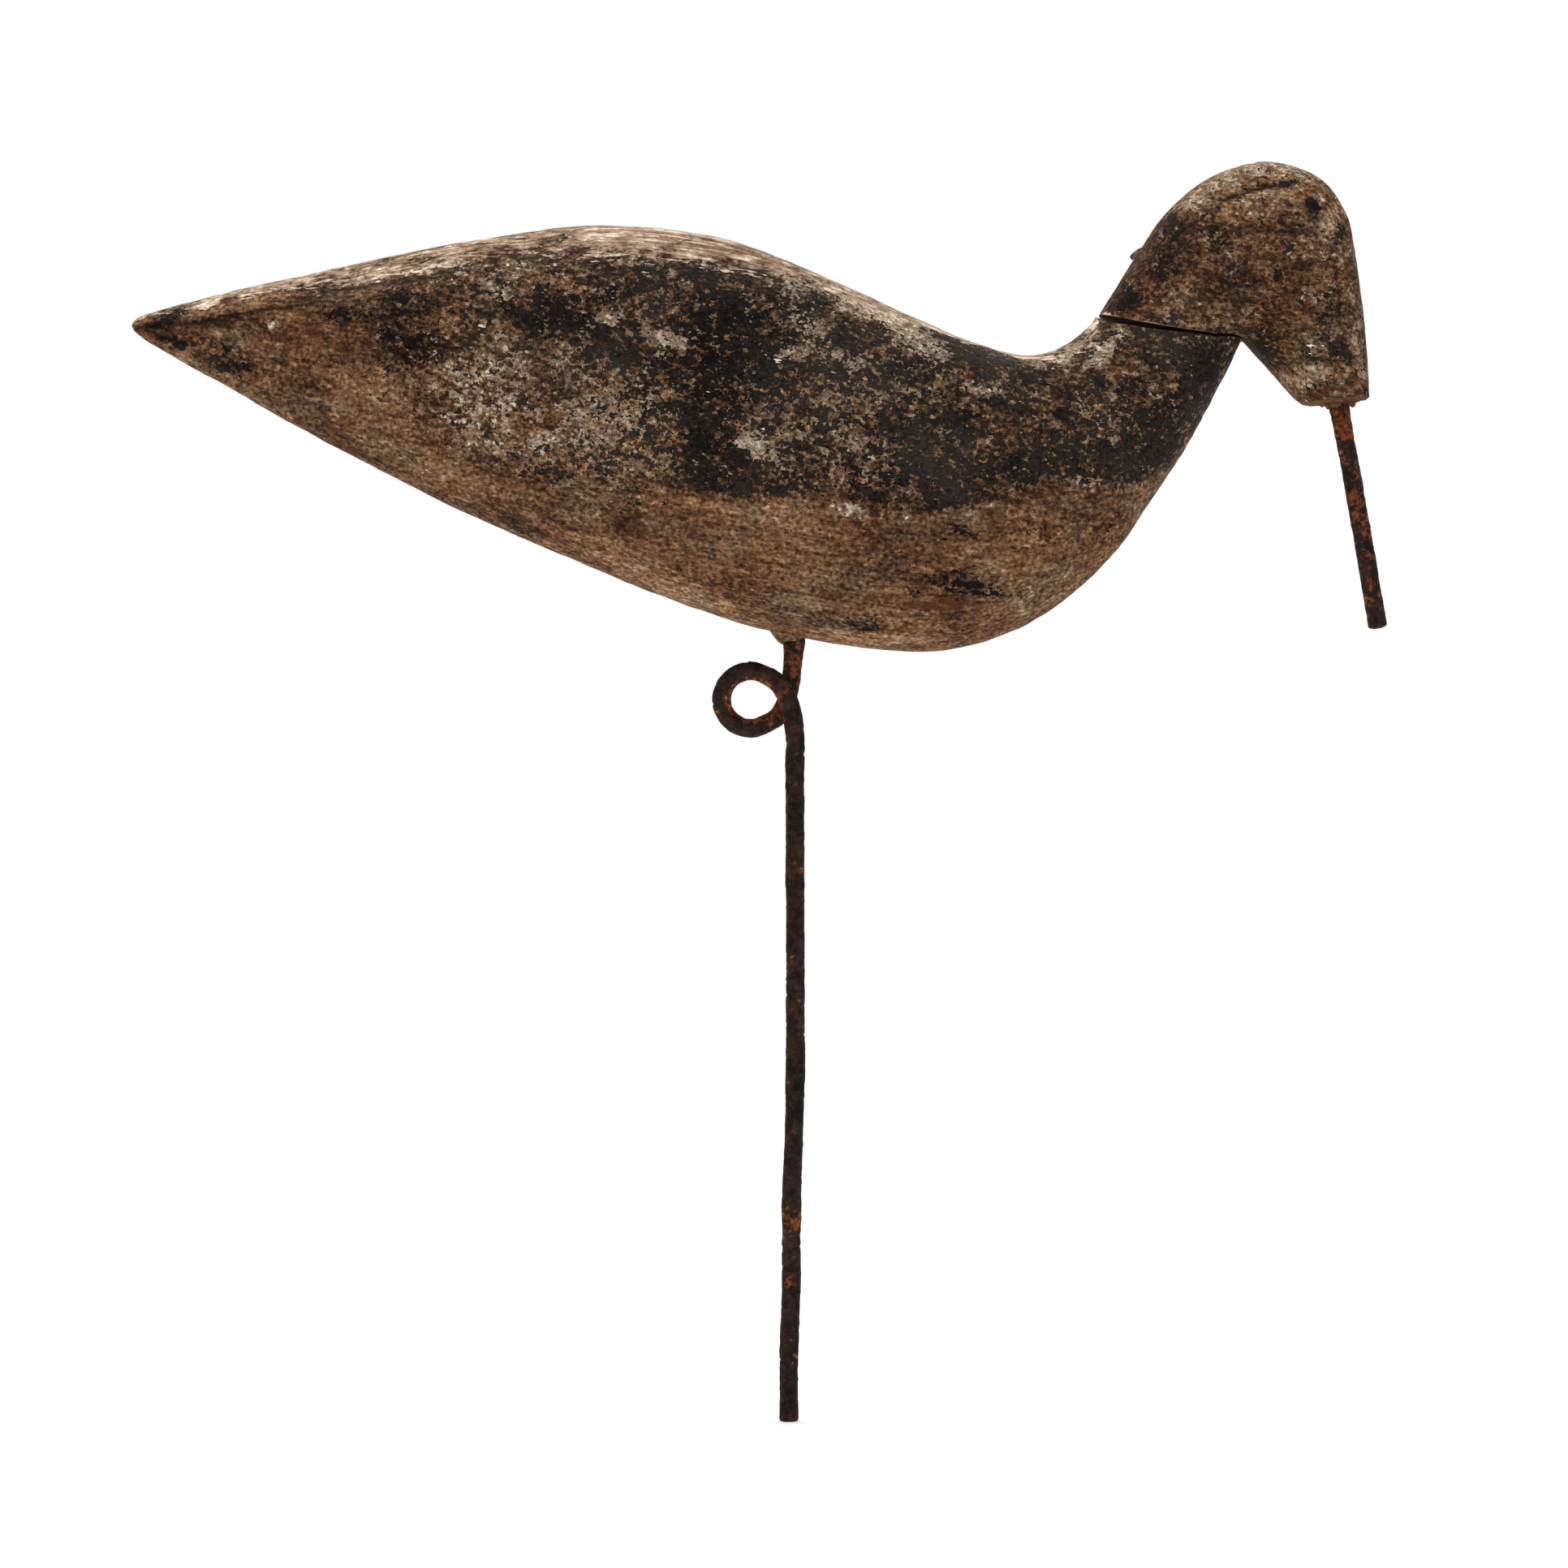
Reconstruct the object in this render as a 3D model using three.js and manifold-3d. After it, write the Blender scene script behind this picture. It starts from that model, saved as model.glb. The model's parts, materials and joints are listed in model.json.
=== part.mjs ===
// A shorebird hunting decoy: a carved wooden curlew on an iron stake.
//
// Millimetres, +Z up. The bird faces +X and its left side faces +Y. The origin is the centre of
// the stake's flat foot, the end that is pushed into the ground.
//
// The bird is two pieces of wood, a body with its lower neck and a head cut to sit on it. An
// iron rod driven into the head is the bill, a toed nail fastens the head to the neck, and a
// second iron rod, bent once round into an eye, is the stake that carries the bird.

import * as THREE from "three";
import { mergeVertices } from "three/addons/utils/BufferGeometryUtils.js";
import Module from "manifold-3d";

// Clearance between a rod and its hole, and between faces that touch.
const FIT_GAP = 0.3;

// Body, from the tail tip to the front of the neck.
const BODY_LENGTH = 383;
const BODY_WIDTH = 76;
const TAIL_TIP_WIDTH = 7;

// Neck joint, a cut that slopes down towards the front, gapes at the back and falls off a
// little towards both sides.
const NECK_DEPTH = 50.8;
const NECK_WIDTH = 40;
const JOINT_SLOPE_DEG = 7.3;
const JOINT_GAPE = 1.9;
const JOINT_CROWN = 1.8;

// Head, from the front of the joint up to the crown. Its back is set in from the neck's.
const HEAD_HEIGHT = 61;
const HEAD_WIDTH = 43;
const HEAD_SETBACK = 1.2;
const FACE_WIDTH = 30;

// Bill, a blunt iron rod that leans forwards.
const BILL_DIAMETER = 6.4;
const BILL_REACH = 79.5;
const BILL_DEPTH = 28;
const BILL_LEAN_DEG = 10.1;
const BILL_CHAMFER = 1.1;

// Stake, an iron rod with one round eye below the belly.
const STAKE_DIAMETER = 6.4;
const STAKE_HEIGHT = 270.5;
const STAKE_DEPTH = 38;
const STAKE_LEAN_DEG = 4.5;
const STAKE_CHAMFER = 1;
const STEM_SET = 2;
const EYE_DIAMETER = 13.3;
const EYE_DROP = 21.6;

// Nail toed through the back of the head into the neck.
const NAIL_DIAMETER = 2.2;
const NAIL_LENGTH = 44;
const NAIL_HEAD_DIAMETER = 5.2;
const NAIL_HEAD_THICKNESS = 1.4;
const NAIL_HEAD_DOME = 0.45;
const NAIL_POINT = 4.4;
const NAIL_PROUD = 0.9;
const NAIL_SLOPE_DEG = 52;

// Facets: sides round a section, and ribs along a carving, closer together towards the tail.
const CARVING_SIDES = 36;
const BODY_RIBS = 48;
const TAIL_CROWDING = 1.25;
const FIRST_RIB_SHARE = 0.0012;
const HEAD_RIBS = 30;
const ROD_SIDES = 12;
const HOLE_SIDES = 20;
const STAKE_STEPS = 108;
const CURVE_SAMPLES = 120;
const MERGE_DISTANCE = 1e-4;

// Outlines of the body seen from the side, as shares of its length, from the point where the
// stake enters the belly. Both start at the tail tip and run to the neck joint.
const BACK_LINE = [
  [-0.5977, 0.281], [-0.5915, 0.2875], [-0.541, 0.3028], [-0.41, 0.333], [-0.278, 0.3585],
  [-0.176, 0.3705], [-0.088, 0.3635], [0, 0.336], [0.088, 0.2953], [0.161, 0.2638],
  [0.206, 0.2525], [0.2425, 0.2618],
];
const BELLY_LINE = [
  [-0.5977, 0.281], [-0.5925, 0.2735], [-0.4975, 0.218], [-0.322, 0.1245], [-0.146, 0.0475],
  [-0.029, 0.0073], [0.088, -0.012], [0.1468, -0.0092], [0.22, 0.0175], [0.278, 0.0655],
  [0.329, 0.1355], [0.366, 0.196],
];
const NECK_FRONT = [0.4023, 0.2677];

// Outlines of the head as shares of its height, from the front of the joint. The crown line
// runs from the back of the neck over to the brow, the throat line along the chin.
const CROWN_LINE = [
  [-0.605, 0.45], [-0.418, 0.71], [-0.183, 0.902], [0.138, 0.992], [0.43, 0.903],
  [0.587, 0.7], [0.634, 0.5], [0.667, 0.27], [0.697, -0.03], [0.7175, -0.339],
];
const THROAT_LINE = [[0.155, -0.174], [0.283, -0.321], [0.348, -0.374]];
const BILL_ALONG_FACE = 0.54;
const NAIL_ALONG_CROWN = 0.137;

// How the sections change from tail to neck and from neck to face: [share of the way, value].
// A width is a share of the full width, a shoulder is how high the widest line lies, and the
// powers say how square the section is above and below that line (2 is round and 1 is a flat
// slope up to a ridge, as on the tail, where the slopes meet the sides along an edge).
const BODY_WIDTHS = [
  [0.06, 0.25], [0.16, 0.45], [0.3, 0.72], [0.45, 0.93], [0.6, 1], [0.74, 0.95], [0.87, 0.75],
];
const BODY_SHOULDERS = [[0, 0.6], [0.12, 0.8], [0.3, 0.74], [0.5, 0.6], [0.8, 0.52], [1, 0.5]];
const BACK_POWERS = [[0, 1.3], [0.2, 1.3], [0.38, 1.8], [0.5, 2.2], [0.8, 2.4], [1, 2.5]];
const BELLY_POWERS = [[0, 2], [0.3, 1.9], [0.5, 2.1], [0.8, 2.3], [1, 2.5]];
const HEAD_WIDTHS = [[0.3, 1], [0.55, 1], [0.8, 0.85]];
const HEAD_POWERS = [[0, 2.5], [0.4, 2.6], [1, 3]];
const CROWN_BEGINS_ON_BODY = 0.85;
const CROWN_ENDS_ON_HEAD = 0.35;

// The stake's centre line. Below the eye it bows: [share of the height, share of the stem's
// set]. Round the eye each bend is [degrees up from the front, distance in eye radii, side],
// where the side runs from -1 for the near strand to 1 for the far strand of the crossing. Just
// below the belly the rod is still that share of the way to the far side.
const STEM_BOW = [[0, 0], [0.08, 0], [0.17, 0.36], [0.29, 0.5], [0.4, 1], [0.54, 1.12]];
const LOWER_STRAND = [[-59, 3.04, -0.5], [-37, 1.96, -1], [-6, 1.38, -1.04], [30, 1.13, -1.04]];
const EYE_TURN = { from: 65, to: 295, bends: 10, twist: 0.8 };
const UPPER_STRAND = [[330, 1.12, 1.04], [366, 1.33, 1.04]];
const EYE_BEHIND_STEM = 1.56;
const SIDE_BELOW_BELLY = 0.33;

const madeAlong = new THREE.Vector3(0, 1, 0);
const degrees = THREE.MathUtils.degToRad;
const inSidePlane = (x, z) => new THREE.Vector3(x, 0, z);
const from = (start, direction, distance) => start.clone().addScaledVector(direction, distance);
const sideCurve = (points) => new THREE.CatmullRomCurve3(points, false, "centripetal");

// A value that eases from one [share, value] station to the next.
function blend(stations) {
  return (share) => {
    const next = stations.findIndex(([at]) => at >= share);
    if (next === 0) return stations[0][1];
    if (next < 0) return stations.at(-1)[1];
    const [[start, low], [end, high]] = stations.slice(next - 1, next + 1);
    return THREE.MathUtils.lerp(low, high, THREE.MathUtils.smoothstep(share, start, end));
  };
}

// A value that follows one fair curve through the [share, value] stations.
function fairCurve(stations) {
  const samples = sideCurve(stations.map(([at, value]) => inSidePlane(at, value))).getPoints(CURVE_SAMPLES);
  return (share) => {
    const found = samples.findIndex((point) => point.x >= share);
    const next = found < 0 ? samples.length - 1 : Math.max(1, found);
    const [before, after] = [samples[next - 1], samples[next]];
    return THREE.MathUtils.mapLinear(share, before.x, after.x, before.z, after.z);
  };
}

// Half widths along a carving, from its first rib to its last.
function halfWidths(first, shares, full, last) {
  const middle = shares.map(([at, share]) => [at, (share * full) / 2]);
  return fairCurve([[0, first / 2], ...middle, [1, last / 2]]);
}

// A carved section: a rounded ring between a top and a bottom point of the side view, whose
// sides may sag below its middle.
function carvedRing({ top, bottom, halfWidth, shoulder, topPower, bottomPower, sag }) {
  const widest = bottom.clone().lerp(top, shoulder);
  const ring = [];
  for (let side = 0; side < CARVING_SIDES; side++) {
    const angle = (side / CARVING_SIDES) * 2 * Math.PI;
    const [height, across] = [Math.cos(angle), -Math.sin(angle)];
    const power = 2 / (height > 0 ? topPower : bottomPower);
    const end = height > 0 ? top : bottom;
    const point = widest.clone().lerp(end, Math.abs(height) ** power);
    point.y = halfWidth * Math.sign(across) * Math.abs(across) ** power;
    point.z -= sag * (point.y / halfWidth) ** 2;
    ring.push(point);
  }
  return ring;
}

// One closed skin over rings of points, with a fan over each end.
function skin(rings) {
  const count = rings[0].length;
  const points = rings.flat();
  const triangles = [];
  for (let ring = 0; ring < rings.length - 1; ring++) {
    for (let side = 0; side < count; side++) {
      const here = ring * count + side;
      const beside = ring * count + ((side + 1) % count);
      triangles.push(here, beside, here + count, beside, beside + count, here + count);
    }
  }
  const ends = [0, (rings.length - 1) * count];
  ends.forEach((start, end) => {
    const middle = points.length;
    const ring = points.slice(start, start + count);
    points.push(ring.reduce((sum, point) => sum.add(point), new THREE.Vector3()).divideScalar(count));
    for (let side = 0; side < count; side++) {
      const edge = [start + side, start + ((side + 1) % count)];
      triangles.push(middle, ...(end ? edge : edge.reverse()));
    }
  });
  const geometry = new THREE.BufferGeometry().setFromPoints(points);
  geometry.setIndex(triangles);
  return geometry;
}

const wasm = await Module();
wasm.setup();

function toSolid(geometry) {
  const bare = geometry.clone();
  bare.deleteAttribute("normal");
  bare.deleteAttribute("uv");
  const merged = mergeVertices(bare, MERGE_DISTANCE);
  return new wasm.Manifold(new wasm.Mesh({
    numProp: 3,
    vertProperties: merged.attributes.position.array,
    triVerts: new Uint32Array(merged.index.array),
  }));
}

function toGeometry(solid) {
  const mesh = solid.getMesh();
  const geometry = new THREE.BufferGeometry();
  geometry.setAttribute("position", new THREE.BufferAttribute(mesh.vertProperties, 3));
  geometry.setIndex(new THREE.BufferAttribute(mesh.triVerts, 1));
  geometry.computeVertexNormals();
  return geometry;
}

function cut(geometry, tools) {
  return toGeometry(tools.reduce((rest, tool) => rest.subtract(toSolid(tool)), toSolid(geometry)));
}

// Turns a thing made along +Y to another direction.
const turnTo = (direction) => new THREE.Quaternion().setFromUnitVectors(madeAlong, direction);

// A cutter for a round hole from its mouth to a depth, which also clears the way out of it.
function hole(mouth, inwards, diameter, depth) {
  const radius = diameter / 2 + FIT_GAP;
  const wayOut = 2 * diameter;
  const length = wayOut + depth + FIT_GAP;
  const middle = from(mouth, inwards, length / 2 - wayOut);
  return new THREE.CylinderGeometry(radius, radius, length, HOLE_SIDES)
    .applyQuaternion(turnTo(inwards))
    .translate(middle.x, middle.y, middle.z);
}

// A turned rod from a profile of [radius, distance along +Y].
function turned(profile) {
  return new THREE.LatheGeometry(profile.map(([radius, at]) => new THREE.Vector2(radius, at)), ROD_SIDES);
}

function paintedWood(colour) {
  return new THREE.MeshStandardMaterial({ color: colour, roughness: 0.85, metalness: 0 });
}

function rustedIron(colour) {
  return new THREE.MeshStandardMaterial({ color: colour, roughness: 0.9, metalness: 0.3 });
}

function piece(name, geometry, material) {
  const mesh = new THREE.Mesh(geometry, material);
  mesh.name = name;
  return mesh;
}

// The bird is drawn from the point where the stake enters its belly, and the head from the
// front of the neck joint.
const bellySeat = inSidePlane(STEM_SET, STAKE_HEIGHT);
const onBody = ([x, z]) => inSidePlane(x, z).multiplyScalar(BODY_LENGTH);
const onHead = ([x, z]) => inSidePlane(x, z).multiplyScalar(HEAD_HEIGHT);
const backwards = (slope) => inSidePlane(-Math.cos(slope), Math.sin(slope));

// The joint: the neck's cut face, and the head's cut face just above it.
const neckSlope = degrees(JOINT_SLOPE_DEG);
const headSlope = neckSlope + Math.atan2(JOINT_GAPE - FIT_GAP, NECK_DEPTH);
const neckFront = onBody(NECK_FRONT);
const neckBack = from(neckFront, backwards(neckSlope), NECK_DEPTH);
const headFront = neckFront.clone().add(inSidePlane(0, 2 * FIT_GAP));
const headBack = backwards(headSlope).multiplyScalar(NECK_DEPTH - HEAD_SETBACK);

const backLine = sideCurve([...BACK_LINE.map(onBody), neckBack]);
const bellyLine = sideCurve([...BELLY_LINE.map(onBody), neckFront]);
const crownLine = sideCurve([headBack, ...CROWN_LINE.map(onHead)]);
const throatLine = sideCurve([new THREE.Vector3(), ...THROAT_LINE.map(onHead)]);

// Where the rods go in, and which way they point.
const stakeUp = inSidePlane(Math.sin(degrees(STAKE_LEAN_DEG)), Math.cos(degrees(STAKE_LEAN_DEG)));
const billDown = inSidePlane(Math.sin(degrees(BILL_LEAN_DEG)), -Math.cos(degrees(BILL_LEAN_DEG)));
const billSeat = throatLine.getPoint(1).lerp(crownLine.getPoint(1), BILL_ALONG_FACE);
const nailDown = inSidePlane(Math.cos(degrees(NAIL_SLOPE_DEG)), -Math.sin(degrees(NAIL_SLOPE_DEG)));
const nailTop = from(crownLine.getPointAt(NAIL_ALONG_CROWN), nailDown, -NAIL_PROUD);

function bodyGeometry() {
  const halfWidth = halfWidths(TAIL_TIP_WIDTH, BODY_WIDTHS, BODY_WIDTH, NECK_WIDTH);
  const [shoulder, topPower, bottomPower] = [BODY_SHOULDERS, BACK_POWERS, BELLY_POWERS].map(blend);
  const rings = [];
  for (let rib = 0; rib <= BODY_RIBS; rib++) {
    const share = Math.max(FIRST_RIB_SHARE, (rib / BODY_RIBS) ** TAIL_CROWDING);
    rings.push(carvedRing({
      top: backLine.getPointAt(share),
      bottom: bellyLine.getPointAt(share),
      halfWidth: halfWidth(share),
      shoulder: shoulder(share),
      topPower: topPower(share),
      bottomPower: bottomPower(share),
      sag: JOINT_CROWN * THREE.MathUtils.smoothstep(share, CROWN_BEGINS_ON_BODY, 1),
    }));
  }
  const stakeHole = hole(new THREE.Vector3(), stakeUp, STAKE_DIAMETER, STAKE_DEPTH);
  const nailHole = hole(headFront.clone().add(nailTop), nailDown, NAIL_DIAMETER, NAIL_LENGTH);
  return cut(skin(rings), [stakeHole, nailHole]);
}

function headGeometry() {
  const halfWidth = halfWidths(NECK_WIDTH, HEAD_WIDTHS, HEAD_WIDTH, FACE_WIDTH);
  const power = blend(HEAD_POWERS);
  const rings = [];
  for (let rib = 0; rib <= HEAD_RIBS; rib++) {
    const share = rib / HEAD_RIBS;
    rings.push(carvedRing({
      top: crownLine.getPointAt(share),
      bottom: throatLine.getPointAt(share),
      halfWidth: halfWidth(share),
      shoulder: 0.5,
      topPower: power(share),
      bottomPower: power(share),
      sag: JOINT_CROWN * (1 - THREE.MathUtils.smoothstep(share, 0, CROWN_ENDS_ON_HEAD)),
    }));
  }
  const billHole = hole(billSeat, billDown.clone().negate(), BILL_DIAMETER, BILL_DEPTH);
  const nailHole = hole(nailTop, nailDown, NAIL_DIAMETER, NAIL_LENGTH);
  const nailNotch = hole(nailTop, nailDown, NAIL_HEAD_DIAMETER, NAIL_HEAD_THICKNESS);
  return cut(skin(rings), [billHole, nailHole, nailNotch]);
}

// The bill from its blind end inside the head to its blunt tip.
function billGeometry() {
  const radius = BILL_DIAMETER / 2;
  return turned([
    [0, -BILL_DEPTH],
    [radius, -BILL_DEPTH],
    [radius, BILL_REACH - BILL_CHAMFER],
    [radius - BILL_CHAMFER, BILL_REACH],
    [0, BILL_REACH],
  ]);
}

// The nail from its domed head to its point.
function nailGeometry() {
  const [shank, head] = [NAIL_DIAMETER / 2, NAIL_HEAD_DIAMETER / 2];
  return turned([
    [0, -NAIL_HEAD_DOME],
    [shank, -NAIL_HEAD_DOME],
    [head, 0],
    [head, NAIL_HEAD_THICKNESS],
    [shank, NAIL_HEAD_THICKNESS],
    [shank, NAIL_LENGTH - NAIL_POINT],
    [0, NAIL_LENGTH],
  ]);
}

// The stake's centre line: up from the foot, once round the eye and on into the belly. The
// two strands cross a rod's thickness apart.
function stakeCurve() {
  const eyeRadius = (EYE_DIAMETER + STAKE_DIAMETER) / 2;
  const eye = inSidePlane(STEM_SET - eyeRadius * EYE_BEHIND_STEM, STAKE_HEIGHT - EYE_DROP);
  const apart = (STAKE_DIAMETER + FIT_GAP) / 2;
  const aroundEye = ([angle, reach, side]) => {
    const spoke = inSidePlane(Math.cos(degrees(angle)), Math.sin(degrees(angle)));
    return from(eye, spoke, eyeRadius * reach).setY(apart * side);
  };
  const turn = Array.from({ length: EYE_TURN.bends + 1 }, (_, bend) => {
    const share = bend / EYE_TURN.bends;
    const angle = THREE.MathUtils.lerp(EYE_TURN.from, EYE_TURN.to, share);
    return [angle, 1, EYE_TURN.twist * (2 * share - 1)];
  });
  return sideCurve([
    ...STEM_BOW.map(([height, set]) => inSidePlane(set * STEM_SET, height * STAKE_HEIGHT)),
    ...[...LOWER_STRAND, ...turn, ...UPPER_STRAND].map(aroundEye),
    from(bellySeat, stakeUp, -eyeRadius).setY(apart * SIDE_BELOW_BELLY),
    bellySeat,
    from(bellySeat, stakeUp, STAKE_DEPTH / 2),
    from(bellySeat, stakeUp, STAKE_DEPTH),
  ]);
}

// A ring cutter that chamfers the edge of the foot.
function footChamfer() {
  const radius = STAKE_DIAMETER / 2;
  return new THREE.LatheGeometry([
    new THREE.Vector2(radius - 2 * STAKE_CHAMFER, -STAKE_CHAMFER),
    new THREE.Vector2(radius + STAKE_CHAMFER, -STAKE_CHAMFER),
    new THREE.Vector2(radius + STAKE_CHAMFER, 2 * STAKE_CHAMFER),
    new THREE.Vector2(radius - 2 * STAKE_CHAMFER, -STAKE_CHAMFER),
  ], HOLE_SIDES).rotateX(Math.PI / 2);
}

function stakeGeometry() {
  const section = new THREE.Shape().absarc(0, 0, STAKE_DIAMETER / 2, 0, 2 * Math.PI);
  const rod = new THREE.ExtrudeGeometry(section, {
    curveSegments: ROD_SIDES / 2,
    steps: STAKE_STEPS,
    extrudePath: stakeCurve(),
  });
  return cut(rod, [footChamfer()]);
}

const wood = piece("body", bodyGeometry(), paintedWood(0x6a5442));
const head = piece("head", headGeometry(), paintedWood(0x5c4838));
const bill = piece("bill", billGeometry(), rustedIron(0x4e2c1c));
const nail = piece("neck_nail", nailGeometry(), rustedIron(0x5a4c48));
const stake = piece("stake", stakeGeometry(), rustedIron(0x38241c));

bill.position.copy(billSeat);
bill.quaternion.copy(turnTo(billDown));
nail.position.copy(nailTop);
nail.quaternion.copy(turnTo(nailDown));

const headWithBill = new THREE.Group().add(head, bill, nail);
headWithBill.position.copy(headFront);
const bird = new THREE.Group().add(wood, headWithBill);
bird.position.copy(bellySeat);
const decoy = new THREE.Group().add(bird, stake);

export default decoy;
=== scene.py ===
# %% [markdown]
# # A stick-up shorebird decoy
#
# Hunters pushed carved wooden shorebirds into the mud to bring a passing flock down. This one is
# a curlew. Its body and lower neck are one piece of wood, its head is a second piece nailed on
# top, an iron rod is its bill, and another rod, bent once round into an eye, is its stake. Years
# of salt air have worn the black and cream paint down to brown wood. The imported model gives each
# piece its size and place, and this script gives each piece its fine surface.

import itertools
import json
import math
from types import SimpleNamespace

import bpy
import numpy as np
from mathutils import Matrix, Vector

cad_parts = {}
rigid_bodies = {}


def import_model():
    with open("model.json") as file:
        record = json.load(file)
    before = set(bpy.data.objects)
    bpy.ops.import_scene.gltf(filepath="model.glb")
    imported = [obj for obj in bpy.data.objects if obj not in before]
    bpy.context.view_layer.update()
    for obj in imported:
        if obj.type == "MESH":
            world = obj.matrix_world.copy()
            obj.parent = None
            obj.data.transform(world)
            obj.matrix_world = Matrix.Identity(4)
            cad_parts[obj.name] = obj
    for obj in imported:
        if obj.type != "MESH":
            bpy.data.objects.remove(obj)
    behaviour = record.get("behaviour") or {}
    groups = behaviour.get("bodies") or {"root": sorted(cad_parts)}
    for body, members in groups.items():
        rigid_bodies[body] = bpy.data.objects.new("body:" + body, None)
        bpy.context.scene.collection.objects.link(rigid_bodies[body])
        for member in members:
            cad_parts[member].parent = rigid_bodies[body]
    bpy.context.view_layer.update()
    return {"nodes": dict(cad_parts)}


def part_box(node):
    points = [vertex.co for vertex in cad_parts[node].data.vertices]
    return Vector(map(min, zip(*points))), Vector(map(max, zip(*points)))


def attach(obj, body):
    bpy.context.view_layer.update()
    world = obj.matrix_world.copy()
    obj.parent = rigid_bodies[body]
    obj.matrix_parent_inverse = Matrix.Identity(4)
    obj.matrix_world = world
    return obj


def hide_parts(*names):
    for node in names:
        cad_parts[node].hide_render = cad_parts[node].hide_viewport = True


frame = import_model()
print("nodes to dress:", sorted(frame["nodes"]))

# %% [markdown]
# ## The photograph's view
#
# The picture was taken level, from the bird's right side, with a long lens. One of its pixels
# covers 0.28 mm where the bird stands. At a distance of 1.8 m the sawn underside of the face
# shows by the few pixels that it has in the photograph, so the camera stands there.

# %% The camera
MM = 0.001
PHOTO_SIDE = 1932
PIXEL = 0.28 * MM
FOOT_SEEN_AT = (972, 1751)
EYE_DISTANCE = 1.8
SENSOR_WIDTH = 36

middle = PHOTO_SIDE / 2
EYE = Vector(((middle - FOOT_SEEN_AT[0]) * PIXEL, -EYE_DISTANCE, (FOOT_SEEN_AT[1] - middle) * PIXEL))

camera = bpy.data.objects.new("camera", bpy.data.cameras.new("camera"))
bpy.context.scene.collection.objects.link(camera)
camera.location = EYE
camera.rotation_euler = (math.pi / 2, 0, 0)
camera.data.sensor_width = SENSOR_WIDTH
camera.data.lens = SENSOR_WIDTH * EYE_DISTANCE / (PHOTO_SIDE * PIXEL)
bpy.context.scene.camera = camera
print(f"camera: {camera.data.lens:.0f} mm lens, {EYE_DISTANCE} m away, {EYE.z:.3f} m up")

# %% [markdown]
# ## Short words for finishes
#
# A finish in Blender is a tree of nodes, and a tree written out node by node is hard to read.
# Each word below makes one kind of node and links it up, so that a finish reads like a recipe.
# Colours are given as on a paint chart, from 0 to 255, and made linear in one place.

# %% Colours
def colour(red, green, blue):
    """The linear colour of a chart colour, by the sRGB curve: about c/255 raised to 2.2."""
    channels = np.array([red, green, blue]) / 255
    steep = ((channels + 0.055) / 1.055) ** 2.4
    linear = np.where(channels <= 0.04045, channels / 12.92, steep)
    return (*linear.tolist(), 1.0)


# %% Nodes
def put(tree, socket, value):
    """A value on a socket, or a link to it from another socket."""
    if isinstance(value, bpy.types.NodeSocket):
        tree.links.new(value, socket)
    else:
        socket.default_value = value


def add(tree, kind, **inputs):
    """A new shader node, with its inputs given by name."""
    made = tree.nodes.new("ShaderNode" + kind)
    for name, value in inputs.items():
        put(tree, made.inputs[name.replace("_", " ")], value)
    return made


def calc(tree, operation, *values):
    """One sum of the shader: the operation on one, two or three values."""
    made = tree.nodes.new("ShaderNodeMath")
    made.operation = operation
    for socket, value in zip(made.inputs, values):
        put(tree, socket, value)
    return made.outputs[0]


def between(tree, value, low, high):
    """A value eased from 0 at low to 1 at high."""
    made = add(tree, "MapRange", Value=value)
    made.interpolation_type = "SMOOTHSTEP"
    put(tree, made.inputs["From Min"], low)
    put(tree, made.inputs["From Max"], high)
    return made.outputs[0]


def coat(tree, share, under, over):
    """The colour over laid on the colour under where share is 1."""
    made = tree.nodes.new("ShaderNodeMix")
    made.data_type = "RGBA"
    put(tree, made.inputs[0], share)
    put(tree, made.inputs[6], under)
    put(tree, made.inputs[7], over)
    return made.outputs[2]


def blend(tree, share, first, second):
    """One shader fading into another, as share goes from 0 to 1."""
    made = add(tree, "MixShader", Fac=share)
    put(tree, made.inputs[1], first.outputs[0])
    put(tree, made.inputs[2], second.outputs[0])
    return made


def mark(tree, name):
    """A mark that the mesh carries, such as how much paint is left."""
    made = tree.nodes.new("ShaderNodeAttribute")
    made.attribute_name = name
    return made.outputs["Fac"]


def new_material(name):
    """An empty material, and the tree that its finish is built in."""
    material = bpy.data.materials.new(name)
    material.use_nodes = True
    material.node_tree.nodes.clear()
    return material, material.node_tree


# %% Noise
NOISE_SPREAD = 10.0


def place_on_piece(tree, stretch=(1, 1, 1), turn=0.0):
    """The place on the piece in metres, squeezed along its axes and turned in the side view."""
    here = tree.nodes.new("ShaderNodeTexCoord").outputs["Object"]
    turned = add(tree, "Mapping", Vector=here, Rotation=(0, turn, 0)).outputs[0]
    return add(tree, "Mapping", Vector=turned, Scale=stretch).outputs[0]


def mottle(tree, place, size, detail, roughness):
    """Cloudy noise with blotches of about that size: 0 in its middle, and mostly from -1 to 1."""
    made = add(tree, "TexNoise", Vector=place, Scale=1 / size, Detail=detail, Roughness=roughness)
    return calc(tree, "MULTIPLY_ADD", made.outputs["Fac"], NOISE_SPREAD, -NOISE_SPREAD / 2)


def chips(tree, place, size):
    """Three random values from -1 to 1, the same all over each chip of about that size."""
    made = add(tree, "TexVoronoi", Vector=place, Scale=1 / size)
    channels = add(tree, "SeparateColor", Color=made.outputs["Color"]).outputs
    return [calc(tree, "MULTIPLY_ADD", channel, 2.0, -1.0) for channel in channels]


# %% [markdown]
# ## A white studio
#
# The photograph is a high-key one: pure white all round, and quiet light on the bird itself.
# A wide floor stands in for the paper, with a large soft lamp above it that burns the paper out
# to white. The world lights the bird more from behind than from in front, as a lit white
# backdrop does, which gives the edges of the wood their pale rim.

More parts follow.
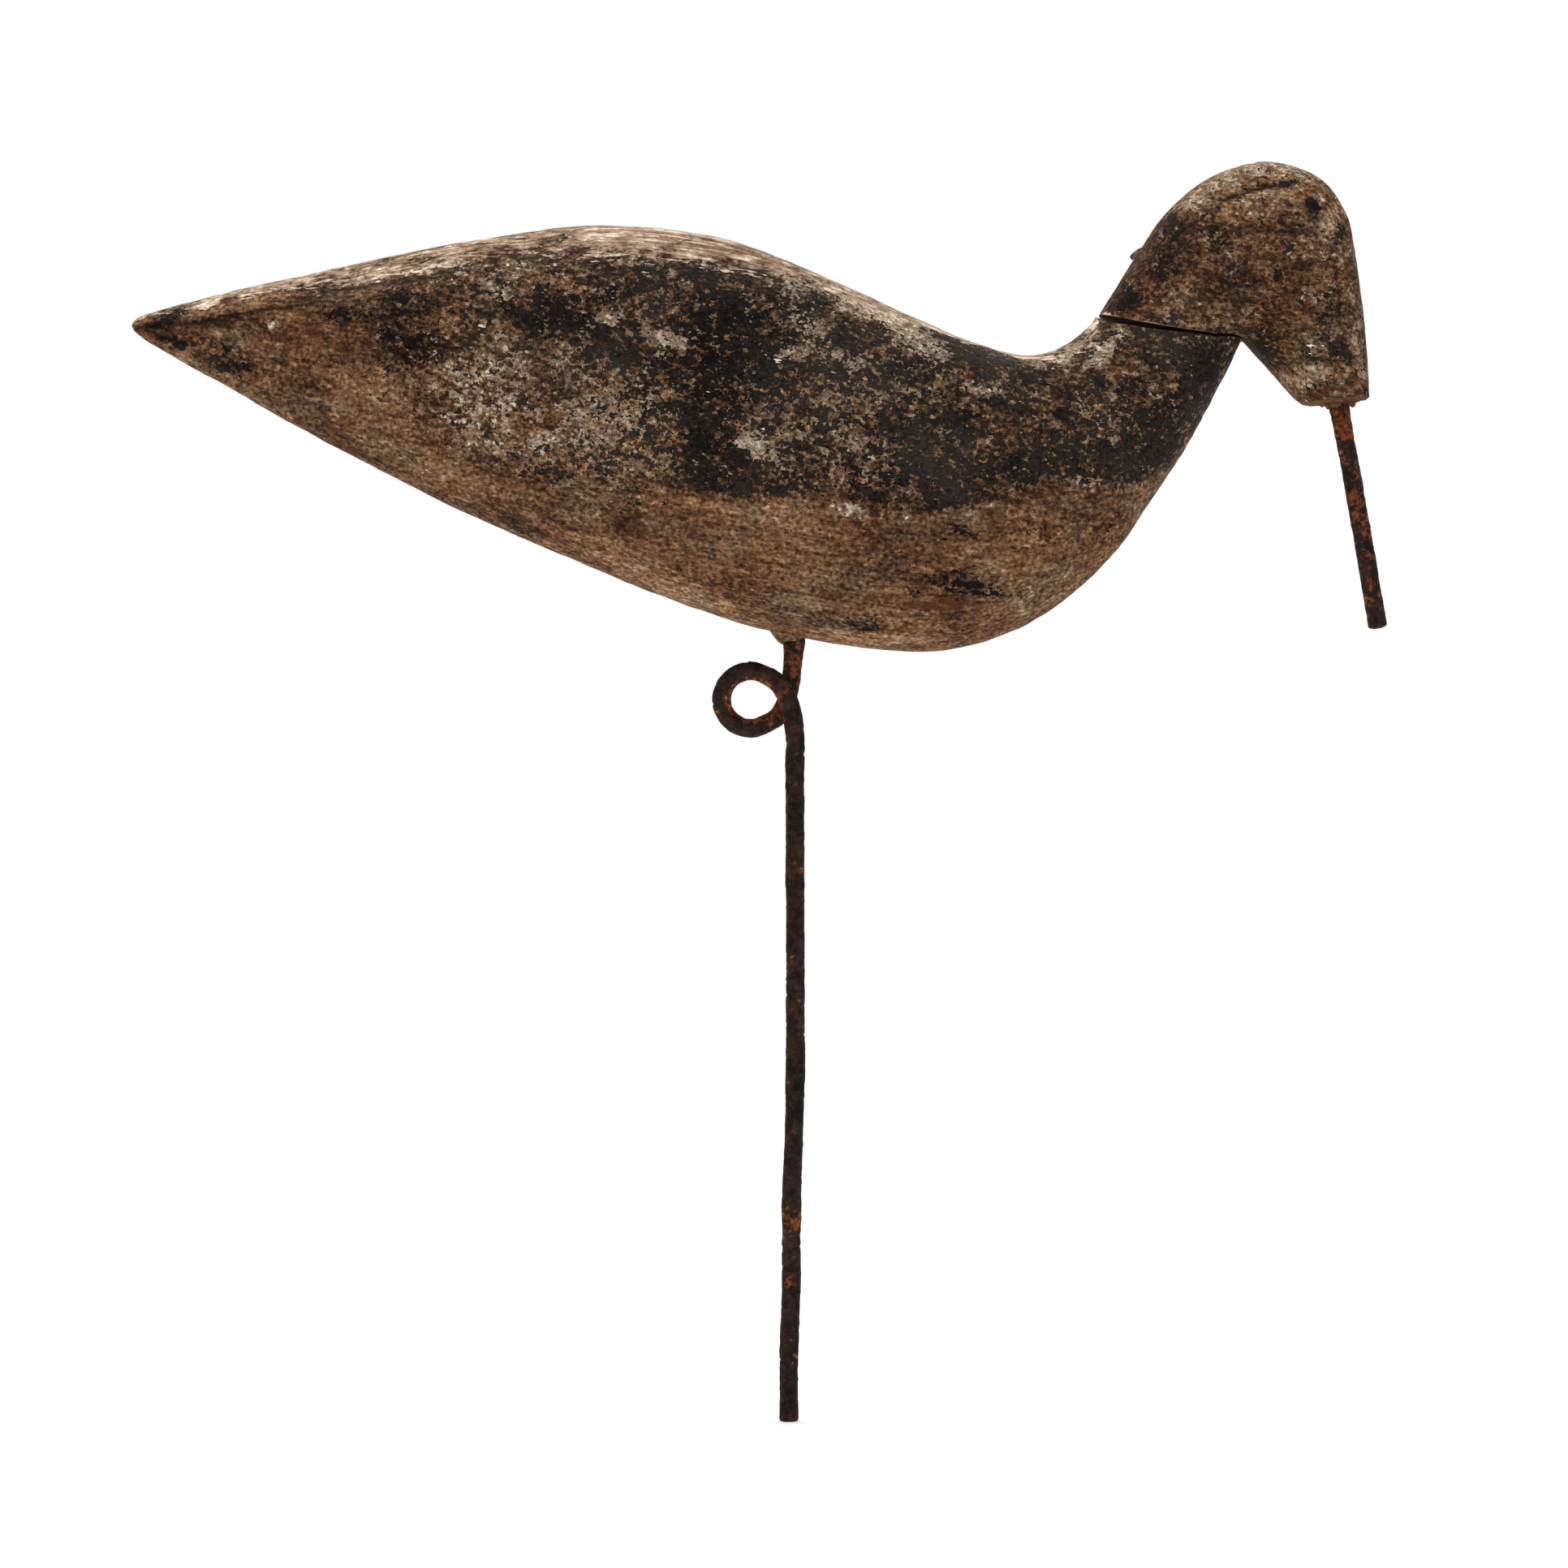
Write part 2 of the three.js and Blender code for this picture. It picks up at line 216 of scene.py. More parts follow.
# %% The world
LIGHT_FROM_FRONT = 0.32
LIGHT_FROM_BEHIND = 1.15
# How far back a direction points where the backdrop's light begins, and where it is full.
BACKDROP_BEGINS = -0.1
BACKDROP_FULL = 0.75
WHITE = (1, 1, 1, 1)

world = bpy.data.worlds.new("studio")
bpy.context.scene.world = world
world.use_nodes = True
tree = world.node_tree
tree.nodes.clear()
direction = tree.nodes.new("ShaderNodeTexCoord").outputs["Generated"]
towards_back = add(tree, "SeparateXYZ", Vector=direction).outputs["Y"]
behind = between(tree, towards_back, BACKDROP_BEGINS, BACKDROP_FULL)
strength = calc(tree, "MULTIPLY_ADD", behind, LIGHT_FROM_BEHIND - LIGHT_FROM_FRONT, LIGHT_FROM_FRONT)
lighting = add(tree, "Background", Color=WHITE, Strength=strength)
backdrop = add(tree, "Background", Color=WHITE, Strength=1.0)
to_camera = tree.nodes.new("ShaderNodeLightPath").outputs["Is Camera Ray"]
add(tree, "OutputWorld", Surface=blend(tree, to_camera, lighting, backdrop).outputs[0])

bpy.context.scene.view_settings.view_transform = "Standard"
print("world light:", LIGHT_FROM_FRONT, "in front,", LIGHT_FROM_BEHIND, "behind")

# %% The paper floor
FLOOR_RADIUS = 30.0
FLOOR_CORNERS = 96
PAPER_FADES = (0.5, 1.6)
PAPER_COLOUR = (247, 247, 247)
PAPER_GLOW = 0.16


def white_paper(name):
    """Paper that glows a little near the bird, is pure white far off, and clear from below."""
    material, tree = new_material(name)
    here = tree.nodes.new("ShaderNodeTexCoord").outputs["Object"]
    away = add(tree, "VectorMath", Vector=here)
    away.operation = "LENGTH"
    far = between(tree, away.outputs["Value"], *PAPER_FADES)
    near = add(tree, "AddShader")
    put(tree, near.inputs[0], add(tree, "BsdfDiffuse", Color=colour(*PAPER_COLOUR)).outputs[0])
    put(tree, near.inputs[1], add(tree, "Emission", Color=WHITE, Strength=PAPER_GLOW).outputs[0])
    from_above = blend(tree, far, near, add(tree, "Emission", Color=WHITE, Strength=1.0))
    from_below = tree.nodes.new("ShaderNodeNewGeometry").outputs["Backfacing"]
    clear = tree.nodes.new("ShaderNodeBsdfTransparent")
    add(tree, "OutputMaterial", Surface=blend(tree, from_below, from_above, clear).outputs[0])
    return material


bpy.ops.mesh.primitive_circle_add(vertices=FLOOR_CORNERS, radius=FLOOR_RADIUS, fill_type="NGON")
floor = bpy.context.object
floor.name = "floor"
floor.data.materials.append(white_paper("paper"))
print(f"floor: {FLOOR_RADIUS:.0f} m of paper round the stake")

# %% The lamps
LAMPS_FACE = Vector((0, 0, 0.3))
# Each lamp's name, place, side and watts.
LAMPS = [
    ("overhead", (0, 0.15, 1.7), 1.2, 21),
    ("front left", (-1.3, -1.5, 0.9), 0.8, 7),
    ("front right", (1.2, -1.6, 0.7), 0.8, 4),
]


def softbox(name, place, size, watts):
    """A square lamp at a place, turned to LAMPS_FACE, in the middle of the bird."""
    lamp = bpy.data.lights.new(name, "AREA")
    lamp.size = size
    lamp.energy = watts
    holder = bpy.data.objects.new(name, lamp)
    bpy.context.scene.collection.objects.link(holder)
    holder.location = place
    holder.rotation_euler = (LAMPS_FACE - Vector(place)).to_track_quat("-Z", "Y").to_euler()


for lamp in LAMPS:
    softbox(*lamp)
print("lamps:", ", ".join(name for name, *_ in LAMPS))

# %% [markdown]
# ## Fair curves
#
# A carver draws the side view on the plank and saws it out, so the outline is a fair curve
# through a few points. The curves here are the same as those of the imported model: each knot is
# joined to the next by a cubic whose tangents are weighed by the square roots of the spans
# round it, which keeps the curve from overshooting at short spans.

# %% Curves and eased values
WIDTH_STEPS = 400


def fair_curve(knots, shares, steps=60):
    """Points at shares of the length of a centripetal Catmull-Rom curve.

    Between b and c, with a before and d after, and s the root of each span, the tangent at b is
    ((b-a)/s0 - (c-a)/(s0+s1) + (c-b)/s1) * s1, and the one at c is made the same way.
    """
    knots = np.asarray(knots, float)
    first = 2 * knots[:1] - knots[1:2]
    last = 2 * knots[-1:] - knots[-2:-1]
    padded = np.vstack([first, knots, last])
    a, b, c, d = (padded[k : len(padded) - 3 + k, None] for k in range(4))
    spans = (b - a, c - b, d - c)
    s0, s1, s2 = (np.sqrt(np.linalg.norm(span, axis=2, keepdims=True)) for span in spans)
    leave = ((b - a) / s0 - (c - a) / (s0 + s1) + (c - b) / s1) * s1
    reach = ((c - b) / s1 - (d - b) / (s1 + s2) + (d - c) / s2) * s1
    t = (np.arange(steps) / steps)[None, :, None]
    dense = (
        (2 * t**3 - 3 * t**2 + 1) * b
        + (t**3 - 2 * t**2 + t) * leave
        + (3 * t**2 - 2 * t**3) * c
        + (t**3 - t**2) * reach
    )
    dense = np.vstack([dense.reshape(-1, knots.shape[1]), knots[-1:]])
    way = np.append(0, np.cumsum(np.linalg.norm(np.diff(dense, axis=0), axis=1)))
    return np.stack([np.interp(shares * way[-1], way, column) for column in dense.T], axis=1)


def smooth(t):
    """0 below 0, 1 above 1 and t * t * (3 - 2t) between."""
    t = np.clip(t, 0, 1)
    return t * t * (3 - 2 * t)


def fading_in(value, ends):
    """0 below the first end, 1 past the second and eased between."""
    first, second = ends
    return smooth((value - first) / (second - first))


def quarter_round(t):
    """The height of a rounded edge, from 0 at 0 to 1 at 1: the root of 1 - (1 - t) * (1 - t)."""
    return np.sqrt(1 - (1 - np.clip(t, 0, 1)) ** 2)


def eased(stations, shares):
    """A value that eases from each [share, value] station to the next."""
    at, value = np.array(stations, float).T
    before = np.clip(np.searchsorted(at, shares) - 1, 0, len(at) - 2)
    t = (shares - at[before]) / (at[before + 1] - at[before])
    return value[before] + (value[before + 1] - value[before]) * smooth(t)


def half_widths(first, middle, full, last, shares):
    """Half widths along a carving, on one fair curve through the stations."""
    stations = [(0, first / 2), *((at, share * full / 2) for at, share in middle), (1, last / 2)]
    curve = fair_curve(stations, np.linspace(0, 1, WIDTH_STEPS))
    return np.interp(shares, curve[:, 0], curve[:, 1])


def in_side_view(x, z):
    """A place or a direction in the bird's middle plane."""
    return np.array([x, 0.0, z])


def side_points(shares, size, start):
    """Outline points given as shares of a size from a start, as places in metres."""
    return [start + size * in_side_view(x, z) for x, z in shares]


# %% [markdown]
# ## Random relief
#
# Old wood is never smooth, and its unevenness comes in sizes: the long waves left by the
# drawknife, the grain that weather raises, and the crust of paint. Each is the same sum: random
# heights on a lattice, joined by eased steps, once for each size. The heights come from a fixed
# seed, so every run gives the same bird.

# %% Random heights
SEED = 1901
LATTICE = 64
TURN_SHIFT = 7.31
RANDOM_HEIGHTS = np.random.default_rng(SEED).uniform(-1, 1, (LATTICE, LATTICE, LATTICE))


def waves(points, size, turn):
    """Random heights from -1 to 1 with swells of a size, in metres, along x, y and z.

    On the lattice of cells of that size, h = sum of corner height * wx * wy * wz, where each w
    is t*t*(3-2t) or one minus that. Another turn gives another set of heights.
    """
    cell = points / np.asarray(size) + turn * TURN_SHIFT
    corner = np.floor(cell).astype(int)
    ease = smooth(cell - corner)
    height = 0
    for step in itertools.product((0, 1), repeat=3):
        weight = np.prod(np.where(step, ease, 1 - ease), axis=-1)
        x, y, z = np.moveaxis((corner + step) % LATTICE, -1, 0)
        height = height + weight * RANDOM_HEIGHTS[x, y, z]
    return height


def rough(points, size, turn, octaves, fade=0.5):
    """Waves of a size, with smaller and smaller ones on them: fade**k times waves of size/2**k."""
    size = np.asarray(size, float)
    return sum(fade**k * waves(points, size / 2**k, turn + k) for k in range(octaves))


def relief(points, kind, turn, octaves):
    """How far unevenness of one kind stands out: its depth times rough waves of its size."""
    depth, size = kind
    return depth * rough(points, size, turn, octaves)


# %% [markdown]
# ## Closed surfaces from rows of points
#
# Every piece is a skin over rows, where each row is a ring of points round the piece. The first
# and last rows close on a pole. The rings run the same way round and the faces are numbered so
# that they point outwards, which the volume at the end proves.

# %% Faces over rows
def faces_over(count, sides):
    """Faces over rows of rings, as point numbers: four-sided ones, and a fan at each end."""
    ring = np.arange(sides)
    beside = (ring + 1) % sides
    start = (np.arange(count - 1) * sides)[:, None]
    corners = (start + ring, start + beside, start + beside + sides, start + ring + sides)
    quads = np.stack(corners, axis=2).reshape(-1, 4)
    first_pole = count * sides
    last_row = (count - 1) * sides
    first = np.stack([np.full(sides, first_pole), beside, ring], axis=1)
    last = np.stack([np.full(sides, first_pole + 1), last_row + ring, last_row + beside], axis=1)
    return quads, np.vstack([first, last])


# %% A closed skin
SHARP_EDGE = math.radians(48)
SHORTEST = 1e-12
CUBIC_CM = 1e-6


def normals_of(rows):
    """Outward directions on rows of rings: the cross product of the ways along and round."""
    along = np.gradient(rows, axis=0)
    around = np.roll(rows, -1, axis=1) - np.roll(rows, 1, axis=1)
    out = np.cross(around, along)
    return out / np.maximum(np.linalg.norm(out, axis=2, keepdims=True), SHORTEST)


def volume_of(points, faces):
    """The volume inside triangles that face outwards: the sum of a . (b x c) / 6."""
    a, b, c = (points[faces[:, k]] for k in range(3))
    return np.einsum("ij,ij->i", a, np.cross(b, c)).sum() / 6


def closed_skin(name, node, rows, marks, material):
    """A mesh over rows of rings that stands for a node, with its marks and its material."""
    quads, fans = faces_over(*rows.shape[:2])
    points = np.vstack([rows.reshape(-1, 3), rows[0].mean(0), rows[-1].mean(0)])
    mesh = bpy.data.meshes.new(name)
    mesh.from_pydata(points.tolist(), [], quads.tolist() + fans.tolist())
    mesh.polygons.foreach_set("use_smooth", np.ones(len(mesh.polygons), bool))
    mesh.set_sharp_from_angle(angle=SHARP_EDGE)
    for mark_name, values in marks.items():
        values = np.append(values.ravel(), [values[0].mean(), values[-1].mean()])
        layer = mesh.attributes.new(mark_name, "FLOAT", "POINT")
        layer.data.foreach_set("value", values.astype(np.float32))
    mesh.materials.append(material)
    piece = bpy.data.objects.new(name, mesh)
    bpy.context.scene.collection.objects.link(piece)
    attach(piece, "root")
    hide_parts(node)
    triangles = np.vstack([quads[:, :3], quads[:, [0, 2, 3]], fans])
    low, high = points.min(0) / MM, points.max(0) / MM
    volume = volume_of(points, triangles) / CUBIC_CM
    print(f"{name}: {len(triangles)} triangles, {volume:.1f} cm3, {low.round(1)} to {high.round(1)} mm")


# %% [markdown]
# ## Carved sections
#
# A carver rounds the sawn plank over, so a section is neither a circle nor a box. It is drawn as
# a rounded ring between a top and a bottom point of the side view: the height along it is
# cos(a) and the breadth sin(a), each raised to 2/n, where n = 2 is an ellipse and more is
# squarer. The widest line may lie above the middle, as it does along this bird's tail.

# %% Rings of a carving
FLAT_AT_FRONT = 0.4
RING_STEPS = 900


def carved_rings(top, bottom, half_width, shoulder, top_power, bottom_power, sag, sides):
    """Rows of rings, with each ring's points at equal steps round it.

    A sag bends a ring down at its sides, by sag * share of the breadth squared, but not at its
    lowest point, where the joint's front corner is sharp.
    """
    angle = np.linspace(0, 2 * np.pi, RING_STEPS, endpoint=False)
    height, across = np.cos(angle)[None, :], -np.sin(angle)[None, :]
    top, bottom = top[:, None], bottom[:, None]
    widest = bottom + (top - bottom) * shoulder[:, None, None]
    power = 2 / np.where(height > 0, top_power[:, None], bottom_power[:, None])
    end = np.where((height > 0)[..., None], top, bottom)
    rings = widest + (end - widest) * (np.abs(height) ** power)[..., None]
    share = np.sign(across) * np.abs(across) ** power
    rings[..., 1] = half_width[:, None] * share
    rings[..., 2] -= sag[:, None] * share**2 * smooth((height + 1) / FLAT_AT_FRONT)
    return evenly_round(rings, sides)


def evenly_round(rings, sides):
    """Each ring again, with that many points at equal steps round it."""
    closed = np.concatenate([rings, rings[:, :1]], axis=1)
    steps = np.linalg.norm(np.diff(closed, axis=1), axis=2)
    way = np.concatenate([np.zeros((len(rings), 1)), np.cumsum(steps, axis=1)], axis=1)
    wanted = np.arange(sides) / sides
    return np.stack([
        np.stack([np.interp(wanted * w[-1], w, column) for column in ring.T], axis=1)
        for w, ring in zip(way, closed)
    ])


def cut_face(ring, rows):
    """Rows that close a ring with a sawn face: the ring drawn in towards its middle."""
    middle = ring.mean(0)
    shares = np.linspace(1, 0, rows + 1)[1:-1]
    return middle + (ring - middle) * shares[:, None, None]


# %% [markdown]
# ## Where the photograph shows things
#
# Patches of paint and stains are noted where the photograph shows them, in its pixels. Each
# point of the surface is carried along its line of sight to the bird's middle plane and turned
# into a pixel there, so that a patch lies where the photograph has it. The far side isn't in
# the photograph. It gets the same bands of paint, with their patches shifted at random.

# %% Places in the photograph, and patches there
OVAL_FULL_TO = 0.3
OVAL_ENDS_AT = 1.5


def seen_at(points):
    """The pixel of the photograph at which each point is seen, from the eye at E.

    The line from the eye meets the plane y = 0 at E + (P - E) * (0 - Ey) / (Py - Ey).
    """
    eye = np.array(EYE)
    reach = -eye[1] / (points[..., 1:2] - eye[1])
    on_plane = eye + (points - eye) * reach
    return np.stack([
        FOOT_SEEN_AT[0] + on_plane[..., 0] / PIXEL,
        FOOT_SEEN_AT[1] - on_plane[..., 2] / PIXEL,
    ], axis=-1)


def patches(seen, ovals):
    """How strongly many soft ovals cover each pixel.

    An oval is (across, down, length, height, tilt in degrees, strength). Its share fades from
    d = OVAL_FULL_TO to OVAL_ENDS_AT, where d is the distance from its middle in half lengths.
    Ovals that lie over each other add up as coats do: 1 - (1 - s1) * (1 - s2) and so on.
    """
    free = np.ones(seen.shape[:-1])
    for across, down, length, height, tilt, strength in ovals:
        x, y = seen[..., 0] - across, down - seen[..., 1]
        cos, sin = math.cos(math.radians(tilt)), math.sin(math.radians(tilt))
        distance = np.hypot((x * cos + y * sin) * 2 / length, (y * cos - x * sin) * 2 / height)
        free = free * (1 - strength * smooth((OVAL_ENDS_AT - distance) / (OVAL_ENDS_AT - OVAL_FULL_TO)))
    return 1 - free


def laid_over(first, second):
    """How much two coats cover together: 1 - (1 - first) * (1 - second)."""
    return 1 - (1 - first) * (1 - second)


# %% [markdown]
# ## The body
#
# The outline is sawn, then the edges are rounded over: full and almost square at the neck,
# round at the breast, and drawn out to a thin edge at the tail, where the widest line lies just
# under the back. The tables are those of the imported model, so the skin lies on its solid.

# %% The body's driving sizes and outlines
BODY_LENGTH = 383 * MM
BODY_WIDTH = 76 * MM
TAIL_TIP_WIDTH = 7 * MM
NECK_DEPTH = 50.8 * MM
NECK_WIDTH = 40 * MM
JOINT_SLOPE = math.radians(7.3)
JOINT_GAPE = 1.9 * MM
JOINT_CROWN = 1.8 * MM
FIT_GAP = 0.3 * MM
STEM_SET = 2 * MM
STAKE_HEIGHT = 270.5 * MM

BACK_LINE = [
    (-0.5977, 0.281), (-0.5915, 0.2875), (-0.541, 0.3028), (-0.41, 0.333), (-0.278, 0.3585),
    (-0.176, 0.3705), (-0.088, 0.3635), (0, 0.336), (0.088, 0.2953), (0.161, 0.2638),
    (0.206, 0.2525), (0.2425, 0.2618),
]
BELLY_LINE = [
    (-0.5977, 0.281), (-0.5925, 0.2735), (-0.4975, 0.218), (-0.322, 0.1245), (-0.146, 0.0475),
    (-0.029, 0.0073), (0.088, -0.012), (0.1468, -0.0092), (0.22, 0.0175), (0.278, 0.0655),
    (0.329, 0.1355), (0.366, 0.196),
]
NECK_FRONT = (0.4023, 0.2677)
BODY_WIDTHS = [
    (0.06, 0.25), (0.16, 0.45), (0.3, 0.72), (0.45, 0.93), (0.6, 1), (0.74, 0.95), (0.87, 0.75),
]
BODY_SHOULDERS = [(0, 0.6), (0.12, 0.8), (0.3, 0.74), (0.5, 0.6), (0.8, 0.52), (1, 0.5)]
BACK_POWERS = [(0, 1.3), (0.2, 1.3), (0.38, 1.8), (0.5, 2.2), (0.8, 2.4), (1, 2.5)]
BELLY_POWERS = [(0, 2), (0.3, 1.9), (0.5, 2.1), (0.8, 2.3), (1, 2.5)]
CROWN_BEGINS_ON_BODY = 0.85

# %% The body's lines and form
BODY_ROWS = 330
BODY_SIDES = 276
CUT_ROWS = 18
TAIL_CROWDING = 1.12
TIP_ROUND = 0.006

belly_seat = in_side_view(STEM_SET, STAKE_HEIGHT)
neck_front = belly_seat + BODY_LENGTH * in_side_view(*NECK_FRONT)
neck_back = neck_front + NECK_DEPTH * in_side_view(-math.cos(JOINT_SLOPE), math.sin(JOINT_SLOPE))

body_shares = (np.arange(1, BODY_ROWS + 1) / BODY_ROWS) ** TAIL_CROWDING
back = fair_curve([*side_points(BACK_LINE, BODY_LENGTH, belly_seat), neck_back], body_shares)
belly = fair_curve([*side_points(BELLY_LINE, BODY_LENGTH, belly_seat), neck_front], body_shares)
widths = half_widths(TAIL_TIP_WIDTH, BODY_WIDTHS, BODY_WIDTH, NECK_WIDTH, body_shares)
body_form = carved_rings(
    back, belly,
    widths * quarter_round(body_shares / TIP_ROUND),
    eased(BODY_SHOULDERS, body_shares),
    eased(BACK_POWERS, body_shares),
    eased(BELLY_POWERS, body_shares),
    JOINT_CROWN * fading_in(body_shares, (CROWN_BEGINS_ON_BODY, 1)),
    BODY_SIDES,
)
print("belly seat", (belly_seat / MM).round(1), "neck front", (neck_front / MM).round(1), "mm")

# %% [markdown]
# ## The body's surface
#
# A drawknife leaves long shallow waves, weather raises the grain and paint crusts over it. All
# three are random relief, pushed out along the surface's own directions. Where the stake was
# driven in, the wood of the belly was torn down round it, and at the back of the neck joint
# fibres of the neck were torn up. Both are smooth bumps, pushed straight down and straight up.

# %% The wood's relief
GRAIN_TILT = math.radians(8)
# How deep each kind of unevenness is, and how long, wide and high its swells are.
KNIFE_WAVES = (0.35 * MM, (38 * MM, 16 * MM, 16 * MM))
RAISED_GRAIN = (0.16 * MM, (34 * MM, 3.2 * MM, 3.2 * MM))
PAINT_CRUST = (0.1 * MM, 5 * MM)


def along_grain(points):
    """The points turned so that the plank's grain, which climbs towards the head, runs along x."""
    cos, sin = math.cos(GRAIN_TILT), math.sin(GRAIN_TILT)
    x, z = points[..., 0], points[..., 2]
    return np.stack([x * cos + z * sin, points[..., 1], z * cos - x * sin], axis=-1)


def weathered(points):
    """How far the wood stands out: the knife's waves + raised grain + a crust of paint."""
    knife = relief(points, KNIFE_WAVES, turn=1, octaves=2)
    grain = relief(along_grain(points), RAISED_GRAIN, turn=2, octaves=2)
    return knife + grain + relief(points, PAINT_CRUST, turn=3, octaves=3)


# %% The torn lip under the belly
LIP_LEVEL = STAKE_HEIGHT - 1.8 * MM
LIP_ENDS = (-6.2 * MM, 5.5 * MM)
LIP_BREADTH = 9 * MM
LIP_EDGE = 0.8 * MM
LIP_FRONT_EDGE = 4 * LIP_EDGE
# No wood is torn from higher than this above the hole.
LIP_TAKES_WOOD_TO = 8 * MM
LIP_STEP = 2 * MM
LIP_STEP_AT = -4.7 * MM
LIP_STEP_LENGTH = 1.3 * MM
LIP_SPLINTERS = (0.9 * MM, 2 * LIP_EDGE)


def torn_lip(points):
    """How far down the wood was torn round the stake's hole.

    It is the height above the lip's level, times an eased share along, across and up the lip.
    The level steps up at the lip's back, where it is ragged too.
    """
    behind, ahead = LIP_ENDS
    x, y, z = np.moveaxis(points, -1, 0)
    along = smooth((x - behind) / LIP_EDGE) * smooth((ahead - x) / LIP_FRONT_EDGE)
    across = smooth((LIP_BREADTH / 2 - np.abs(y)) / LIP_EDGE)
    under = smooth((STAKE_HEIGHT + LIP_TAKES_WOOD_TO - z) / MM)
    level = LIP_LEVEL + LIP_STEP * (1 - smooth((x - LIP_STEP_AT) / LIP_STEP_LENGTH))
    ragged = relief(points, LIP_SPLINTERS, turn=50, octaves=2)
    level = level + ragged * smooth(-x / LIP_STEP_LENGTH)
    return along * across * under * np.maximum(z - level, 0)


# %% The body's skin, from tail to joint
FIBRES_STAND = 1.3 * MM
FIBRES_REACH = 7 * MM

body_side = body_form + normals_of(body_form) * weathered(body_form)[..., None]
torn = torn_lip(body_side)
body_side[..., 2] -= torn
# The relief stops at the solid's own width, so that the dressed bird is no wider than the part.
right_side, left_side = (corner.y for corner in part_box("body"))
body_side[..., 1] = np.clip(body_side[..., 1], right_side, left_side)
neck_top = np.concatenate([body_side[-1:], cut_face(body_side[-1], CUT_ROWS)])
from_back = np.linalg.norm(neck_top - neck_back, axis=-1)
neck_top[..., 2] += FIBRES_STAND * smooth(1 - from_back / FIBRES_REACH)
body_rows = np.concatenate([body_side[:-1], neck_top])
print(f"body: {len(body_rows)} rows, torn down by up to {torn.max() / MM:.1f} mm under the belly")

# %% [markdown]
# ## The body's paint
#
# Three things lie on the brown wood: a cream ground, black over the upper half, and bare pale
# wood where hands and sand have rubbed the ridge, which is also a painted highlight along the top.
# The tail's top facet is painted paler as a highlight, with a painted shadow line under its edge.
# The mesh carries how much of each is left, from 0 to 1, at every point. A patch is noted as a soft
# oval in the photograph, which is how an eye finds it there, and a band or the bare ridge as a few
# stations along the body. The fine ragged edges come from noise in the material, because they are
# far smaller than the mesh can hold.

# %% Where black is left on the body
# The lower edge of the painted upper half, as pixels across and down, how much black is left
# above it, and over how many pixels the black fades out there.
PAINT_EDGE = [
    (160, 430), (300, 440), (420, 470), (560, 560), (700, 600), (800, 610), (900, 612),
    (1000, 616), (1140, 630), (1290, 603), (1420, 590), (1470, 540), (1530, 440),
]
BLACK_LEFT = [
    (160, 0.02), (420, 0.08), (500, 0.28), (640, 0.28), (740, 0.44), (860, 0.52), (1000, 0.52),
    (1180, 0.52), (1320, 0.46), (1450, 0.48),
]
EDGE_FADE = [(160, 60), (500, 90), (760, 60), (860, 26), (1100, 16), (1450, 16)]
BLACK_PAINT = [
    # The dark mass in the middle of the side, and what hangs below it.
    (893, 428, 116, 120, 0, 0.5), (905, 400, 136, 46, 0, 0.5), (875, 500, 60, 80, 10, 0.4),
    (860, 560, 60, 76, -20, 0.3), (985, 470, 50, 36, 0, 0.35), (785, 475, 50, 34, -10, 0.3),
    # The band, from the middle of the side to the front of the neck.
    (1180, 590, 220, 50, 2, 0.36), (1120, 566, 60, 34, 0, 0.2), (1185, 608, 90, 16, 0, 0.4),
    (1245, 562, 70, 40, 10, 0.3), (1330, 560, 100, 50, 10, 0.4), (1415, 545, 60, 90, -35, 0.6),
    (1474, 460, 44, 120, -28, 0.8), (1100, 512, 40, 34, 25, 0.25), (1188, 497, 40, 28, 0, 0.35),
    (1040, 590, 150, 24, 0, 0.3), (920, 596, 130, 30, 0, 0.3), (1300, 500, 60, 40, 0, 0.15),
    # The saddle of the back.
    (1060, 436, 120, 30, -22, 0.3), (1115, 452, 60, 34, -24, 0.3), (1210, 452, 100, 20, -14, 0.4),
    (1340, 430, 20, 60, -42, 0.5), (1000, 372, 40, 24, -30, 0.5), (1160, 425, 60, 16, -26, 0.6),
    # The back and the tail.
    (670, 384, 110, 70, -6, 0.6), (750, 420, 90, 60, -20, 0.4), (800, 345, 90, 24, 0, 0.4),
    (820, 450, 60, 50, 0, 0.4), (503, 423, 70, 46, -10, 0.6), (535, 445, 30, 26, 0, 0.5),
    (590, 352, 60, 34, 0, 0.45), (480, 385, 90, 40, 8, 0.25), (276, 447, 84, 40, -35, 0.46),
    (212, 419, 44, 12, -16, 0.75), (880, 340, 60, 22, -20, 0.3), (392, 352, 84, 28, 10, 0.5),
    (410, 377, 70, 14, 10, 0.4), (215, 387, 70, 18, 18, 0.7), (500, 372, 120, 30, 8, 0.3),
    # Spots and strokes on the lower side and belly.
    (545, 545, 40, 36, 0, 0.3), (615, 568, 26, 20, 0, 0.4), (668, 582, 56, 22, 0, 0.45),
    (770, 620, 100, 18, -8, 0.25), (1180, 718, 130, 40, 0, 0.36), (1060, 762, 70, 16, -3, 0.4),
    (1285, 655, 40, 34, 0, 0.3), (1050, 705, 180, 40, 0, 0.1), (1360, 650, 60, 18, 60, 0.35),
    (1160, 706, 70, 7, 0, 0.55), (1190, 716, 80, 7, -4, 0.6), (1215, 726, 60, 6, -6, 0.55),
    (1160, 728, 60, 6, 0, 0.5), (1060, 756, 60, 6, 0, 0.6), (1075, 765, 70, 6, -2, 0.6),
    (1172, 650, 44, 6, -14, 0.7), (1184, 662, 40, 6, -14, 0.7), (1160, 668, 30, 5, -10, 0.6),
    (1108, 508, 34, 6, 24, 0.8), (1120, 520, 36, 6, 24, 0.8), (1132, 530, 24, 5, 20, 0.7),
]
# How much black is left where it is thickest, and how much of it a whole patch of cream clears.
MOST_BLACK = 0.8
CREAM_CLEARS = 0.8
